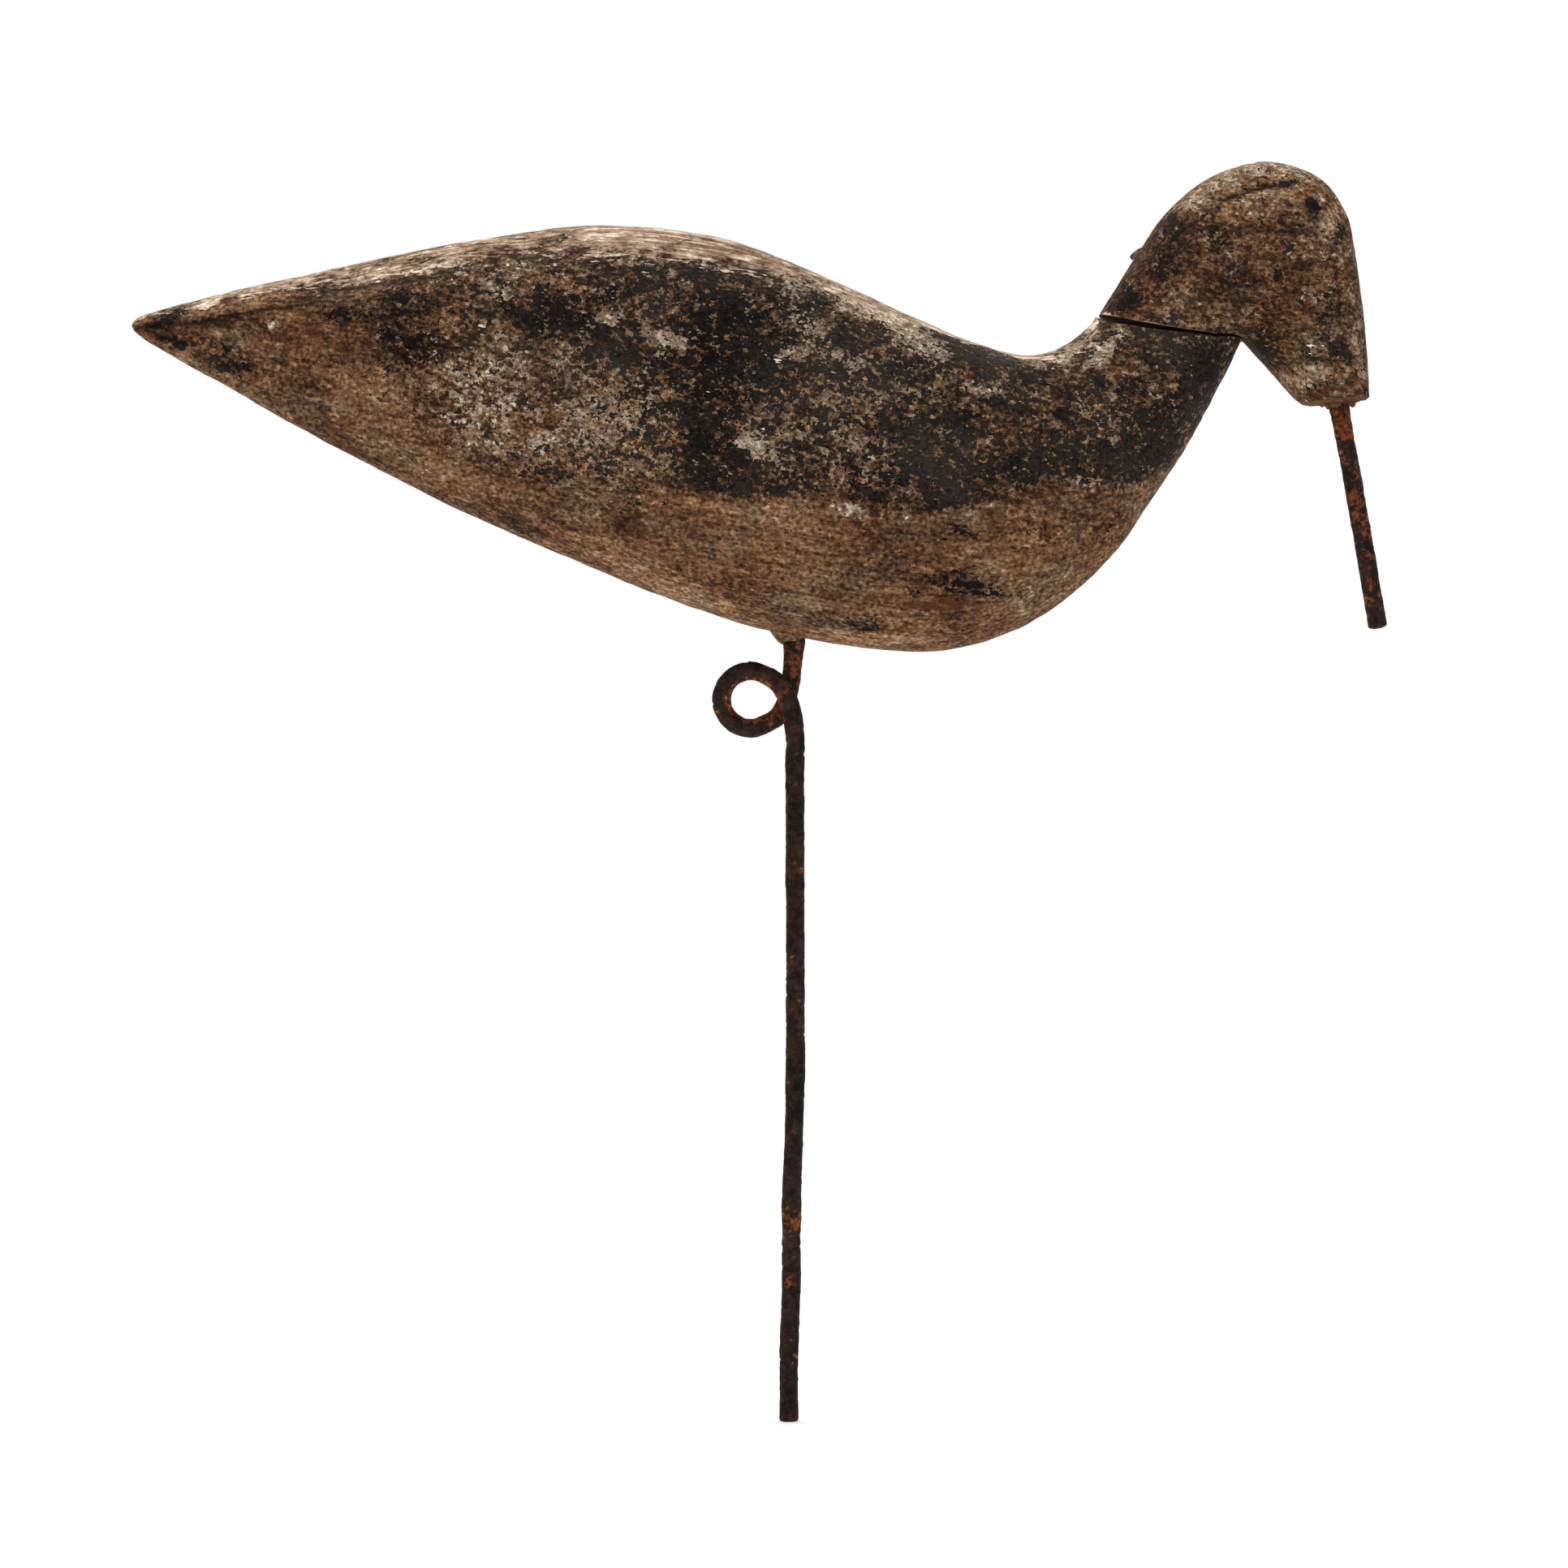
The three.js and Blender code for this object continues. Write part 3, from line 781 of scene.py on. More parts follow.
# The deepest black, in the middle of the side. The black has faded to a dark grey elsewhere, but
# not on the tail, which passes into the side between the two pixels of TAIL_ENDS.
DEEP_BLACK = [
    (895, 425, 170, 150, 0, 1.0), (870, 520, 100, 150, 0, 0.7), (500, 430, 110, 60, 0, 0.9),
    (660, 385, 260, 90, 0, 0.8),
]
TAIL_ENDS = (430, 630)
print(len(BLACK_PAINT), "patches of black")

# %% Where cream is left on the body
CREAM_LEFT = [(160, 0), (420, 0.08), (560, 0.26), (800, 0.28), (1000, 0.26), (1450, 0.22)]
CREAM_PAINT = [
    (600, 470, 110, 130, 0, 0.4), (630, 505, 80, 30, 10, 0.3), (700, 540, 110, 34, 0, 0.45),
    (675, 540, 40, 26, 0, 0.3), (770, 535, 70, 34, 0, 0.3), (740, 480, 120, 80, 0, 0.28),
    (742, 395, 34, 22, 10, 1.0), (826, 411, 74, 34, 0, 0.85), (935, 543, 54, 27, -12, 0.85),
    (975, 435, 40, 26, 0, 0.8), (1000, 408, 46, 60, 40, 0.65), (1098, 388, 110, 40, -28, 1.0),
    (1045, 460, 130, 54, -15, 0.26), (990, 540, 150, 110, 0, 0.24), (1080, 565, 130, 60, 0, 0.14),
    (1125, 425, 70, 34, -24, 0.7), (1046, 446, 80, 34, -10, 0.5),
    (341, 404, 10, 14, -30, 1.0), (352, 352, 22, 10, 20, 0.8), (450, 342, 90, 14, 12, 0.4),
    (560, 324, 40, 18, 14, 0.6),
    (1316, 435, 44, 14, 46, 1.0), (1362, 428, 80, 26, 46, 0.7), (1375, 530, 60, 80, 0, 0.16),
    (1055, 633, 36, 26, 0, 1.0), (560, 335, 90, 30, 10, 0.35), (612, 356, 60, 22, 0, 0.5),
    (990, 358, 60, 24, -20, 0.5), (1210, 475, 66, 16, -8, 0.6), (540, 440, 70, 60, 0, 0.16),
    (820, 300, 260, 44, -4, 0.6), (740, 290, 120, 24, 0, 0.4), (960, 330, 80, 34, -25, 0.5),
    (1030, 362, 90, 30, -28, 0.75), (520, 318, 220, 36, 12, 0.2), (1150, 426, 70, 14, -24, 0.7),
    (1285, 446, 70, 18, 0, 0.5), (1345, 420, 30, 16, 50, 0.5), (1000, 632, 300, 24, 0, 0.2),
    (1330, 600, 60, 30, 0, 0.2),
]
print(len(CREAM_PAINT), "patches of cream")

# %% Where rust has stained the body, and where it is darker or paler
RUSTY_STAINS = [
    (638, 368, 30, 18, 0, 1.0), (1165, 745, 140, 12, 8, 0.9), (555, 525, 50, 34, 0, 0.5),
    (850, 655, 80, 24, -10, 0.5), (780, 640, 50, 34, 0, 0.5), (1290, 680, 90, 34, 25, 0.5),
    (430, 420, 170, 40, 5, 0.5), (1400, 480, 50, 60, 0, 0.6), (620, 590, 80, 40, 0, 0.5),
    (880, 470, 50, 60, 0, 0.3), (870, 560, 60, 60, 0, 0.35), (800, 352, 90, 16, -4, 0.5),
    (980, 788, 44, 10, 0, 0.8), (230, 404, 110, 14, 10, 0.5), (375, 412, 100, 20, 0, 0.5),
    (425, 417, 16, 20, 0, 0.9), (420, 543, 380, 20, -28, 0.45), (1290, 655, 36, 18, 0, 0.8),
]
# How light the worn ground is, where grime darkens it, and where it is paler: sun and sand have
# paled it in places, and along the lower edge, the bottom of the belly and the breast's front
# edge the paler tone is a painted highlight.
GROUND_TONE = 0.46
GRIME = [
    (420, 415, 200, 40, 0, 0.1), (245, 404, 110, 22, 12, 0.16), (640, 650, 160, 26, -25, 0.14),
    (1150, 705, 260, 50, 0, 0.06), (865, 540, 100, 130, 20, 0.2), (450, 380, 150, 40, 0, 0.14),
    (770, 640, 60, 30, -40, 0.18), (430, 418, 16, 20, 0, 0.2), (500, 420, 110, 60, 0, 0.12),
    (276, 447, 90, 44, -35, 0.12), (392, 352, 84, 28, 10, 0.12), (215, 387, 70, 18, 18, 0.12),
    (1490, 450, 50, 100, -28, 0.12), (1180, 782, 100, 30, 0, 0.14), (1010, 535, 140, 110, 0, 0.08),
    (640, 385, 160, 60, 0, 0.11), (590, 580, 160, 50, -25, 0.06),
    (480, 575, 300, 24, -28, 0.05), (1390, 560, 100, 40, 30, 0.1), (700, 360, 240, 60, 0, 0.1),
    # The ridge, from the tail to the saddle.
    (215, 385, 80, 24, 14, 0.26), (290, 364, 80, 20, 14, 0.12), (385, 343, 150, 30, 12, 0.36),
    (520, 318, 130, 30, 11, 0.3), (620, 300, 90, 28, 9, 0.14), (690, 292, 90, 28, 6, 0.26),
    (930, 314, 100, 44, -18, 0.28),
]
# Paler places: those along the lower edge, the bottom of the belly and the breast's front edge are painted
# highlights, the rest paled wood.
PALER_AND_PAINTED_HIGHLIGHTS = [
    (930, 622, 200, 26, 0, 0.08), (700, 570, 220, 70, 0, 0.08), (560, 590, 160, 40, -28, 0.04),
    (660, 525, 200, 70, 0, 0.08), (460, 480, 140, 40, 0, 0.1), (1100, 785, 300, 26, 0, 0.14),
    (1400, 660, 60, 180, -35, 0.08), (840, 725, 260, 26, -24, 0.12), (780, 520, 170, 120, 0, 0.26),
    (1010, 530, 180, 130, 0, 0.14), (1120, 470, 200, 90, 0, 0.16), (1380, 500, 110, 80, 0, 0.12),
    (1180, 580, 240, 50, 0, 0.1), (660, 370, 220, 70, 0, 0.16), (880, 420, 160, 120, 0, 0.06),
]
print(len(RUSTY_STAINS), "stains,", len(GRIME), "dark places and", len(PALER_AND_PAINTED_HIGHLIGHTS), "pale ones")

# %% Cracks and a painted shadow line, the tail's facet with its painted highlight, and the bare ridge with its painted highlight
# Cracks that run with the grain, each from end to end. The first three lie along the tail's edge
# and are partly a painted shadow line under that edge.
GRAIN_CRACKS_AND_SHADOW_LINE = [
    [(268, 390), (362, 377), (436, 365)], [(330, 373), (372, 366)], [(392, 361), (440, 352)],
    [(428, 357), (512, 341), (578, 333)], [(470, 353), (560, 338)], [(540, 336), (592, 324)],
    [(632, 322), (680, 314), (727, 305)], [(767, 316), (808, 308), (852, 295)],
    [(827, 333), (864, 328), (903, 320)], [(700, 336), (770, 330)], [(690, 600), (790, 606)],
]
# Past this many pixels it doesn't matter how far off a crack is.
CRACK_REACH = 20
# The edge along the tail where its top facet meets the side, how much paler the facet is painted as
# a highlight and how much darker a painted shadow line just under the edge is, over which pixels
# they die out and how sharp the edge is.
TAIL_EDGE = [
    (163, 402), (200, 400), (240, 395), (300, 385), (355, 370), (400, 360), (480, 346),
    (576, 330), (700, 316),
]
FACET_HIGHLIGHT_AND_SHADOW = 0.16
FACET_ENDS = (480, 640)
FACET_EDGE = 3
# How far below the ridge, in mm, the wood is rubbed bare and also painted pale as a highlight of
# the light from above, and how bare and pale it is at the ridge.
RIDGE_BARE_AND_HIGHLIT_TO = [
    (0, 3), (0.11, 8), (0.24, 15), (0.31, 18), (0.37, 17), (0.44, 24), (0.5, 27), (0.57, 25),
    (0.63, 20), (0.7, 16), (0.77, 11), (0.83, 7), (0.88, 5), (0.93, 4), (0.97, 6), (1, 1),
]
RIDGE_BARE_AND_HIGHLIT = [
    (0, 1), (0.11, 1), (0.18, 0.78), (0.44, 0.78), (0.5, 1), (0.57, 0.95), (0.63, 0.8),
    (0.7, 0.95), (0.77, 1), (0.83, 0.85), (1, 0.8),
]
# How steeply the bare, highlit wood ends below the ridge.
RIDGE_EDGE = 1.25

# %% Words for the marks
# How many pixels a patch is moved by noise, and how many more of them on the far side.
WANDER = 10
SHIFT_ON_FAR_SIDE = 76
WANDER_SIZE = 16 * MM
# How far behind the middle plane a point counts as wholly on the far side.
HIDDEN_FROM = 20 * MM


def wander(points, seen):
    """Pixels moved about by noise: a little on the near side and far on the hidden one."""
    hidden = smooth(points[..., 1] / HIDDEN_FROM)[..., None]
    push = [rough(points, WANDER_SIZE, turn, octaves=5, fade=0.6) for turn in (5, 11)]
    return seen + np.stack(push, axis=-1) * (WANDER + SHIFT_ON_FAR_SIDE * hidden)


def along_photo(stations, seen):
    """A value joined straight from station to station across the photograph."""
    return np.interp(seen[..., 0], *np.array(stations, float).T)


def from_cracks(seen, cracks):
    """How many pixels away the nearest crack is, each crack being a line through some points."""
    nearest = np.full(seen.shape[:-1], np.inf)
    for crack in cracks:
        for start, end in itertools.pairwise(np.array(crack, float)):
            along = np.clip((seen - start) @ (end - start) / np.sum((end - start) ** 2), 0, 1)
            foot = start + along[..., None] * (end - start)
            nearest = np.minimum(nearest, np.linalg.norm(seen - foot, axis=-1))
    return nearest


# %% The painted half, the facet's painted highlight and shadow line, and the rubbed ridge with its painted highlight
on_photo = seen_at(body_rows)
seen = wander(body_rows, on_photo)
above_edge = along_photo(PAINT_EDGE, seen) - seen[..., 1]
in_upper_half = smooth(above_edge / along_photo(EDGE_FADE, seen) + 0.5)

# The facet gets a painted highlight, and a painted shadow line runs just under its edge.
above_tail_edge = along_photo(TAIL_EDGE, on_photo) - on_photo[..., 1]
on_tail = 1 - fading_in(seen[..., 0], FACET_ENDS)
facet_painted_highlight = on_tail * smooth(above_tail_edge / FACET_EDGE + 0.5)
painted_shadow_under_edge = on_tail * np.exp(-((above_tail_edge / FACET_EDGE + 1) ** 2))

below_ridge = body_form[:, :1, 2] - body_form[..., 2]
# The ridge is rubbed bare, and the same pale band is a painted highlight of the light from above.
bare_and_highlit_to = eased(RIDGE_BARE_AND_HIGHLIT_TO, body_shares)[:, None] * MM
bare_and_highlit_ridge = eased(RIDGE_BARE_AND_HIGHLIT, body_shares)[:, None]
rubbed_and_highlit = bare_and_highlit_ridge * smooth(RIDGE_EDGE * (1 - below_ridge / bare_and_highlit_to))

# %% The body's marks
cream_patches = patches(seen, CREAM_PAINT)
black_left = laid_over(in_upper_half * along_photo(BLACK_LEFT, seen), patches(seen, BLACK_PAINT))
most_black = MOST_BLACK * np.tanh(black_left / MOST_BLACK)
faded_black = in_upper_half * fading_in(seen[..., 0], TAIL_ENDS)
# Paler and darker places, with the facet's painted highlight and the painted shadow line under it.
dark_or_pale = patches(seen, PALER_AND_PAINTED_HIGHLIGHTS) - patches(seen, GRIME) + FACET_HIGHLIGHT_AND_SHADOW * (facet_painted_highlight - painted_shadow_under_edge)
not_cut = np.zeros(body_side.shape[:2])
cut = np.ones((CUT_ROWS - 1, BODY_SIDES))
body_marks = {
    "black": most_black * (1 - CREAM_CLEARS * cream_patches**2),
    "tone": GROUND_TONE + dark_or_pale,
    "cream": laid_over(in_upper_half * along_photo(CREAM_LEFT, seen), cream_patches),
    "rusty": patches(seen, RUSTY_STAINS),
    "rubbed_and_highlit": np.concatenate([rubbed_and_highlit, 0 * cut]),
    "sawn": np.concatenate([not_cut, cut]),
    "sooty": faded_black * (1 - patches(seen, DEEP_BLACK)),
    # How far off the nearest crack is, the painted shadow line along the tail's edge among them.
    "crack": np.minimum(from_cracks(on_photo, GRAIN_CRACKS_AND_SHADOW_LINE), CRACK_REACH),
}
print("marks on average:", {name: round(float(values.mean()), 2) for name, values in body_marks.items()})

# %% [markdown]
# ## Weathered paint on wood
#
# One recipe serves both pieces of wood, because they were painted together. It builds the
# surface up in the order of the real one: brown wood with its grain, a worn buff coat, flakes
# of cream, then black, then what time added. A coat is there where its mark plus noise is high
# enough, which gives ragged flakes at a half-worn patch and a whole coat at a full one. Cloudy
# noise alone would fade softly, so the noise also has chips: cells of a Voronoi pattern that are
# each of one random value, as a flake is. Cream has noise of its own, so that it doesn't wear
# off at the same spots as black.

# %% Shades of each coat
# Each row is a stop of a scale: its value, then its red, green and blue.
DUSTY_WOOD = [
    (0.0, 24, 18, 13), (0.25, 54, 40, 29), (0.5, 98, 76, 55), (0.75, 140, 115, 89),
    (1.0, 192, 168, 140),
]
RUDDY_WOOD = [
    (0.0, 30, 17, 10), (0.25, 64, 39, 23), (0.5, 105, 72, 46), (0.75, 144, 108, 77),
    (1.0, 190, 156, 124),
]
CREAM_SHADES = [(0.0, 70, 53, 39), (0.4, 128, 107, 86), (0.7, 178, 160, 137), (1.0, 234, 222, 202)]
BLACK_SHADES = [(0.0, 6, 4, 3), (0.25, 15, 12, 10), (1.0, 62, 55, 48)]
# The bare wood's shades also give the painted highlight along the ridge and the crown.
BARE_AND_HIGHLIT_SHADES = [(0.0, 66, 44, 31), (0.4, 128, 100, 76), (0.7, 176, 150, 125), (1.0, 238, 222, 200)]
CUT_SHADES = [(0.0, 50, 28, 16), (1.0, 120, 82, 54)]
RUST_STAIN = (80, 42, 25)
CRACK_AND_SHADOW_BROWN = (34, 21, 14)
DOT_BROWN = (52, 30, 20)


def chart(tree, value, stops):
    """A colour for each value, from stops of (value, red, green, blue) joined straight."""
    made = add(tree, "ValToRGB", Fac=value)
    ramp = made.color_ramp
    for at, *shade in stops[1:-1]:
        ramp.elements.new(at).color = colour(*shade)
    for element, (at, *shade) in ((ramp.elements[0], stops[0]), (ramp.elements[-1], stops[-1])):
        element.position, element.color = at, colour(*shade)
    return made.outputs[0]


def total(tree, base, *parts):
    """A base and parts of other values: base + weight * value for each (weight, value)."""
    for weight, value in parts:
        base = calc(tree, "MULTIPLY_ADD", value, weight, base)
    return base


# %% The noise that the coats share
# Flakes are a little longer along the bird, and the grain is 12 times as long as it is wide.
ALONG_BIRD = (0.85, 1, 1)
ALONG_GRAIN = (1 / 12, 1, 1)
# The same noise read this far away is another noise.
OTHER_PLACE = (0.5, 0.2, 0.1)
CHIP_SIZE = 1.1 * MM
# How much each noise counts in the wear of the paint.
WORN_BY = {"broad": 0.13, "flaky": 0.17, "fleck": 0.22, "grit": 0.26, "chip_1": 0.3, "lines": 0.08}


def wood_noise(tree):
    """Noise of every size, and the marks that several coats need, each by its name."""
    here = place_on_piece(tree, ALONG_BIRD, -GRAIN_TILT)
    there = add(tree, "Mapping", Vector=here, Location=OTHER_PLACE).outputs[0]
    grain = place_on_piece(tree, ALONG_GRAIN, -GRAIN_TILT)
    wood = SimpleNamespace(
        here=here,
        broad=mottle(tree, here, 26 * MM, 4, 0.6),
        flaky=mottle(tree, here, 7 * MM, 3, 0.62),
        fleck=mottle(tree, here, 2.6 * MM, 3, 0.65),
        grit=mottle(tree, here, 1.2 * MM, 2, 0.6),
        flaky_2=mottle(tree, there, 5 * MM, 3, 0.62),
        fleck_2=mottle(tree, there, 2.2 * MM, 3, 0.65),
        streaks=mottle(tree, grain, 5 * MM, 3, 0.6),
        lines=mottle(tree, grain, 1.4 * MM, 3, 0.7),
        warmth=mottle(tree, here, 15 * MM, 5, 0.7),
        black=mark(tree, "black"),
        cream=mark(tree, "cream"),
        sooty=mark(tree, "sooty"),
        tone=mark(tree, "tone"),
    )
    wood.chip_1, wood.chip_2, wood.chip_3 = chips(tree, here, CHIP_SIZE)
    wood.worn = total(tree, 0.0, *((weight, vars(wood)[name]) for name, weight in WORN_BY.items()))
    return wood


# %% The ground and the flakes of paint
def brown_ground(tree, wood):
    """Worn buff paint on brown wood: a scale of browns by the mark "tone", with noise on it."""
    speckle = total(
        tree, 0.0,
        (0.05, wood.flaky_2), (0.06, wood.fleck_2), (0.12, wood.grit), (0.18, wood.chip_2),
    )
    rougher = total(tree, 0.85, (0.5, wood.black), (0.4, wood.cream))
    tone = total(
        tree, wood.tone,
        (0.06, wood.broad), (0.05, wood.streaks), (0.09, wood.lines), (rougher, speckle),
    )
    warmer = between(tree, total(tree, 0.7, (1.0, wood.warmth), (-0.7, wood.sooty)), -0.8, 1.2)
    ground = coat(tree, warmer, chart(tree, tone, DUSTY_WOOD), chart(tree, tone, RUDDY_WOOD))
    rusty = total(
        tree, -0.5,
        (1.0, mark(tree, "rusty")), (0.2, wood.flaky), (0.2, wood.fleck), (0.12, wood.grit),
    )
    return coat(tree, between(tree, rusty, -0.1, 0.7), ground, colour(*RUST_STAIN))


def with_cream(tree, wood, painted):
    """Flakes of cream over the colours so far."""
    left = total(
        tree, -0.85,
        (1.6, wood.cream), (0.2, wood.flaky_2), (0.24, wood.fleck_2), (0.32, wood.chip_3),
        (-0.2, wood.worn),
    )
    shade = total(
        tree, 0.52, (0.14, wood.fleck), (0.15, wood.grit), (0.2, wood.chip_2), (0.1, wood.flaky),
    )
    return coat(tree, between(tree, left, 0.0, 0.06), painted, chart(tree, shade, CREAM_SHADES))


def with_black(tree, wood, painted):
    """Black over the colours so far, more ragged the more is left, and where it is."""
    raggedness = total(tree, 0.75, (0.5, wood.black))
    left = total(tree, -0.78, (1.85, wood.black), (raggedness, wood.worn))
    black_here = between(tree, left, 0.0, 0.05)
    shade = total(
        tree, 0.15,
        (0.24, wood.sooty), (0.12, wood.broad), (0.06, wood.fleck), (0.12, wood.grit),
        (0.08, wood.chip_3),
    )
    return coat(tree, black_here, painted, chart(tree, shade, BLACK_SHADES)), black_here


def with_bare_wood_and_highlight(tree, wood, painted):
    """Pale wood where the ridge is worn bare, which is also a painted highlight of the light from above,
    streaked by its grain at the edge of the paint.
    """
    left = total(
        tree, -1.3,
        (1.95, mark(tree, "rubbed_and_highlit")), (0.14, wood.broad), (0.3, wood.flaky), (0.2, wood.streaks),
        (0.3, wood.lines), (0.16, wood.fleck),
    )
    shade = total(
        tree, 0.23,
        (0.7, wood.tone), (0.2, wood.lines), (0.14, wood.streaks), (0.1, wood.flaky),
        (0.12, wood.chip_2),
    )
    return coat(tree, between(tree, left, -0.03, 0.12), painted, chart(tree, shade, BARE_AND_HIGHLIT_SHADES))


# %% Cracks, a painted shadow line, and dots
# The pixels from a crack's middle to where it begins to fade, and to where it has faded out.
CRACK_FADES = (0.8, 2.2)
DOTS_APART = 9 * MM
DOT_SIZE = 0.08
DARKENED_BY = 0.75


def with_cracks_and_shadow_line(tree, wood, painted):
    """Dark ragged lines, cracks and a painted shadow line along the tail's edge, where the mark "crack" is
    small, and where they are.
    """
    from_crack = total(tree, mark(tree, "crack"), (0.5, wood.fleck), (0.5, wood.lines))
    in_crack_and_shadow_line = calc(tree, "SUBTRACT", 1.0, between(tree, from_crack, *CRACK_FADES))
    share = calc(tree, "MULTIPLY", in_crack_and_shadow_line, DARKENED_BY)
    return coat(tree, share, painted, colour(*CRACK_AND_SHADOW_BROWN)), in_crack_and_shadow_line


def with_dots(tree, wood, painted):
    """A few dark dots, one in each cell of a Voronoi pattern and smaller than the cell."""
    dots = add(tree, "TexVoronoi", Vector=wood.here, Scale=1 / DOTS_APART).outputs["Distance"]
    dot_size = total(tree, DOT_SIZE, (0.03, wood.flaky), (0.02, wood.grit))
    share = calc(tree, "MULTIPLY", calc(tree, "LESS_THAN", dots, dot_size), DARKENED_BY)
    return coat(tree, share, painted, colour(*DOT_BROWN))


# %% The recipe
ROUGHNESS = 0.8


def finish_with(tree, painted, height, strength, depth, shine):
    """The end of a recipe: a rough surface with its colours, and bumps from a height."""
    bump = add(tree, "Bump", Height=height, Strength=strength, Distance=depth)
    shader = add(tree, "BsdfPrincipled", Base_Color=painted, Normal=bump.outputs[0])
    shader.inputs["Roughness"].default_value = ROUGHNESS
    shader.inputs["Specular IOR Level"].default_value = shine
    add(tree, "OutputMaterial", Surface=shader.outputs[0])


def old_paint(name):
    """The whole finish, coat by coat."""
    material, tree = new_material(name)
    wood = wood_noise(tree)
    painted = with_cream(tree, wood, brown_ground(tree, wood))
    painted, black_here = with_black(tree, wood, painted)
    painted, in_crack_and_shadow_line = with_cracks_and_shadow_line(tree, wood, with_bare_wood_and_highlight(tree, wood, painted))
    painted = with_dots(tree, wood, painted)
    cut = chart(tree, total(tree, 0.5, (0.2, wood.lines)), CUT_SHADES)
    painted = coat(tree, mark(tree, "sawn"), painted, cut)
    height = total(
        tree, 0.0,
        (0.2, wood.flaky), (0.3, wood.lines), (0.2, wood.fleck), (0.1, wood.grit),
        (0.25, black_here), (-0.8, in_crack_and_shadow_line),
    )
    finish_with(tree, painted, height, strength=1.0, depth=0.3 * MM, shine=0.1)
    return material


worn_paint = old_paint("worn paint")
print("worn paint:", len(worn_paint.node_tree.nodes), "nodes")
closed_skin("carved_body", "body", body_rows, body_marks, worn_paint)

# %% [markdown]
# ## The head
#
# The head is a second piece of wood. Its underside is sawn to sit on the neck, and it bends over
# the crown to a face that is sawn off square, where the bill goes in. The same rounded rings
# follow it round the bend, and both ends close with a sawn face. Between chin and neck the bend
# is so sharp that rings would bulge into the notch there, so their points are drawn back to its
# two planes. A long crack opens on the near side of the crown, where the grain runs out, and the
# face is broken and splintered round the rusting bill.

# %% The head's driving sizes and outlines
HEAD_HEIGHT = 61 * MM
HEAD_WIDTH = 43 * MM
HEAD_SETBACK = 1.2 * MM
FACE_WIDTH = 30 * MM
CROWN_LINE = [
    (-0.605, 0.45), (-0.418, 0.71), (-0.183, 0.902), (0.138, 0.992), (0.43, 0.903),
    (0.587, 0.7), (0.634, 0.5), (0.667, 0.27), (0.697, -0.03), (0.7175, -0.339),
]
THROAT_LINE = [(0.155, -0.174), (0.283, -0.321), (0.348, -0.374)]
HEAD_WIDTHS = [(0.3, 1), (0.55, 1), (0.8, 0.85)]
HEAD_POWERS = [(0, 2.5), (0.4, 2.6), (1, 3)]
CHIN_POWERS = [(0, 2.5), (0.1, 2.1), (0.6, 2.1), (1, 3)]
HEAD_SHOULDER = 0.5
CROWN_ENDS_ON_HEAD = 0.35
BILL_ALONG_FACE = 0.54
BILL_LEAN = math.radians(10.1)

# %% The head's form
HEAD_ROWS = 300
HEAD_SIDES = 264

head_front = neck_front + in_side_view(0, 2 * FIT_GAP)
head_slope = JOINT_SLOPE + math.atan2(JOINT_GAPE - FIT_GAP, NECK_DEPTH)
to_back = in_side_view(-math.cos(head_slope), math.sin(head_slope))
head_back = head_front + (NECK_DEPTH - HEAD_SETBACK) * to_back

head_shares = np.linspace(0, 1, HEAD_ROWS)
crown = fair_curve([head_back, *side_points(CROWN_LINE, HEAD_HEIGHT, head_front)], head_shares)
throat = fair_curve([head_front, *side_points(THROAT_LINE, HEAD_HEIGHT, head_front)], head_shares)
head_form = carved_rings(
    crown, throat,
    half_widths(NECK_WIDTH, HEAD_WIDTHS, HEAD_WIDTH, FACE_WIDTH, head_shares),
    np.full(HEAD_ROWS, HEAD_SHOULDER),
    eased(HEAD_POWERS, head_shares),
    eased(CHIN_POWERS, head_shares),
    JOINT_CROWN * (1 - smooth(head_shares / CROWN_ENDS_ON_HEAD)),
    HEAD_SIDES,
)
bill_seat = throat[-1] + (crown[-1] - throat[-1]) * BILL_ALONG_FACE
bill_down = in_side_view(math.sin(BILL_LEAN), -math.cos(BILL_LEAN))
print("crown", (crown[:, 2].max() / MM).round(1), "mm up, bill seat", (bill_seat / MM).round(1), "mm")

# %% The crack in the crown
CROWN_CRACK = [(1503, 246), (1522, 241), (1541, 234), (1556, 230), (1571, 228)]
CRACK_HALF_WIDTH = 2.6
CRACK_NARROWS = 0.6
CRACK_LEAST_SHARE = 0.05
CRACK_DEPTH = 1.8 * MM
CRACK_LIP = 0.8 * MM
# How far above the crack its lip stands and how wide it is, in half widths of the crack.
CRACK_LIP_ABOVE = 2.2
CRACK_LIP_WIDTH = 1.6
# How far out on the near side the crack has its whole depth.
CRACK_SIDE = 4 * MM
OFF_CRACK = -1e4


def near_crack(seen, line):
    """How far above a line each pixel lies, and its share of the way along the line."""
    line = np.array(line, float)
    down = np.interp(seen[..., 0], line[:, 0], line[:, 1], left=OFF_CRACK, right=OFF_CRACK)
    along = (seen[..., 0] - line[0, 0]) / (line[-1, 0] - line[0, 0])
    return down - seen[..., 1], along


def crown_crack(points, seen):
    """The crack, and the lip that stands up above it, on the near side.

    Both are bells across the crack, exp(-x*x), and its width is sin(pi * share) to a power.
    """
    above, along = near_crack(seen, CROWN_CRACK)
    gape = np.sin(np.pi * np.clip(along, 0, 1)) ** CRACK_NARROWS + CRACK_LEAST_SHARE
    across = above / (CRACK_HALF_WIDTH * gape)
    groove = np.exp(-(across**2))
    lip = np.exp(-(((across - CRACK_LIP_ABOVE) / CRACK_LIP_WIDTH) ** 2))
    near_side = smooth(-points[..., 1] / CRACK_SIDE)
    return near_side * (CRACK_LIP * lip - CRACK_DEPTH * groove)


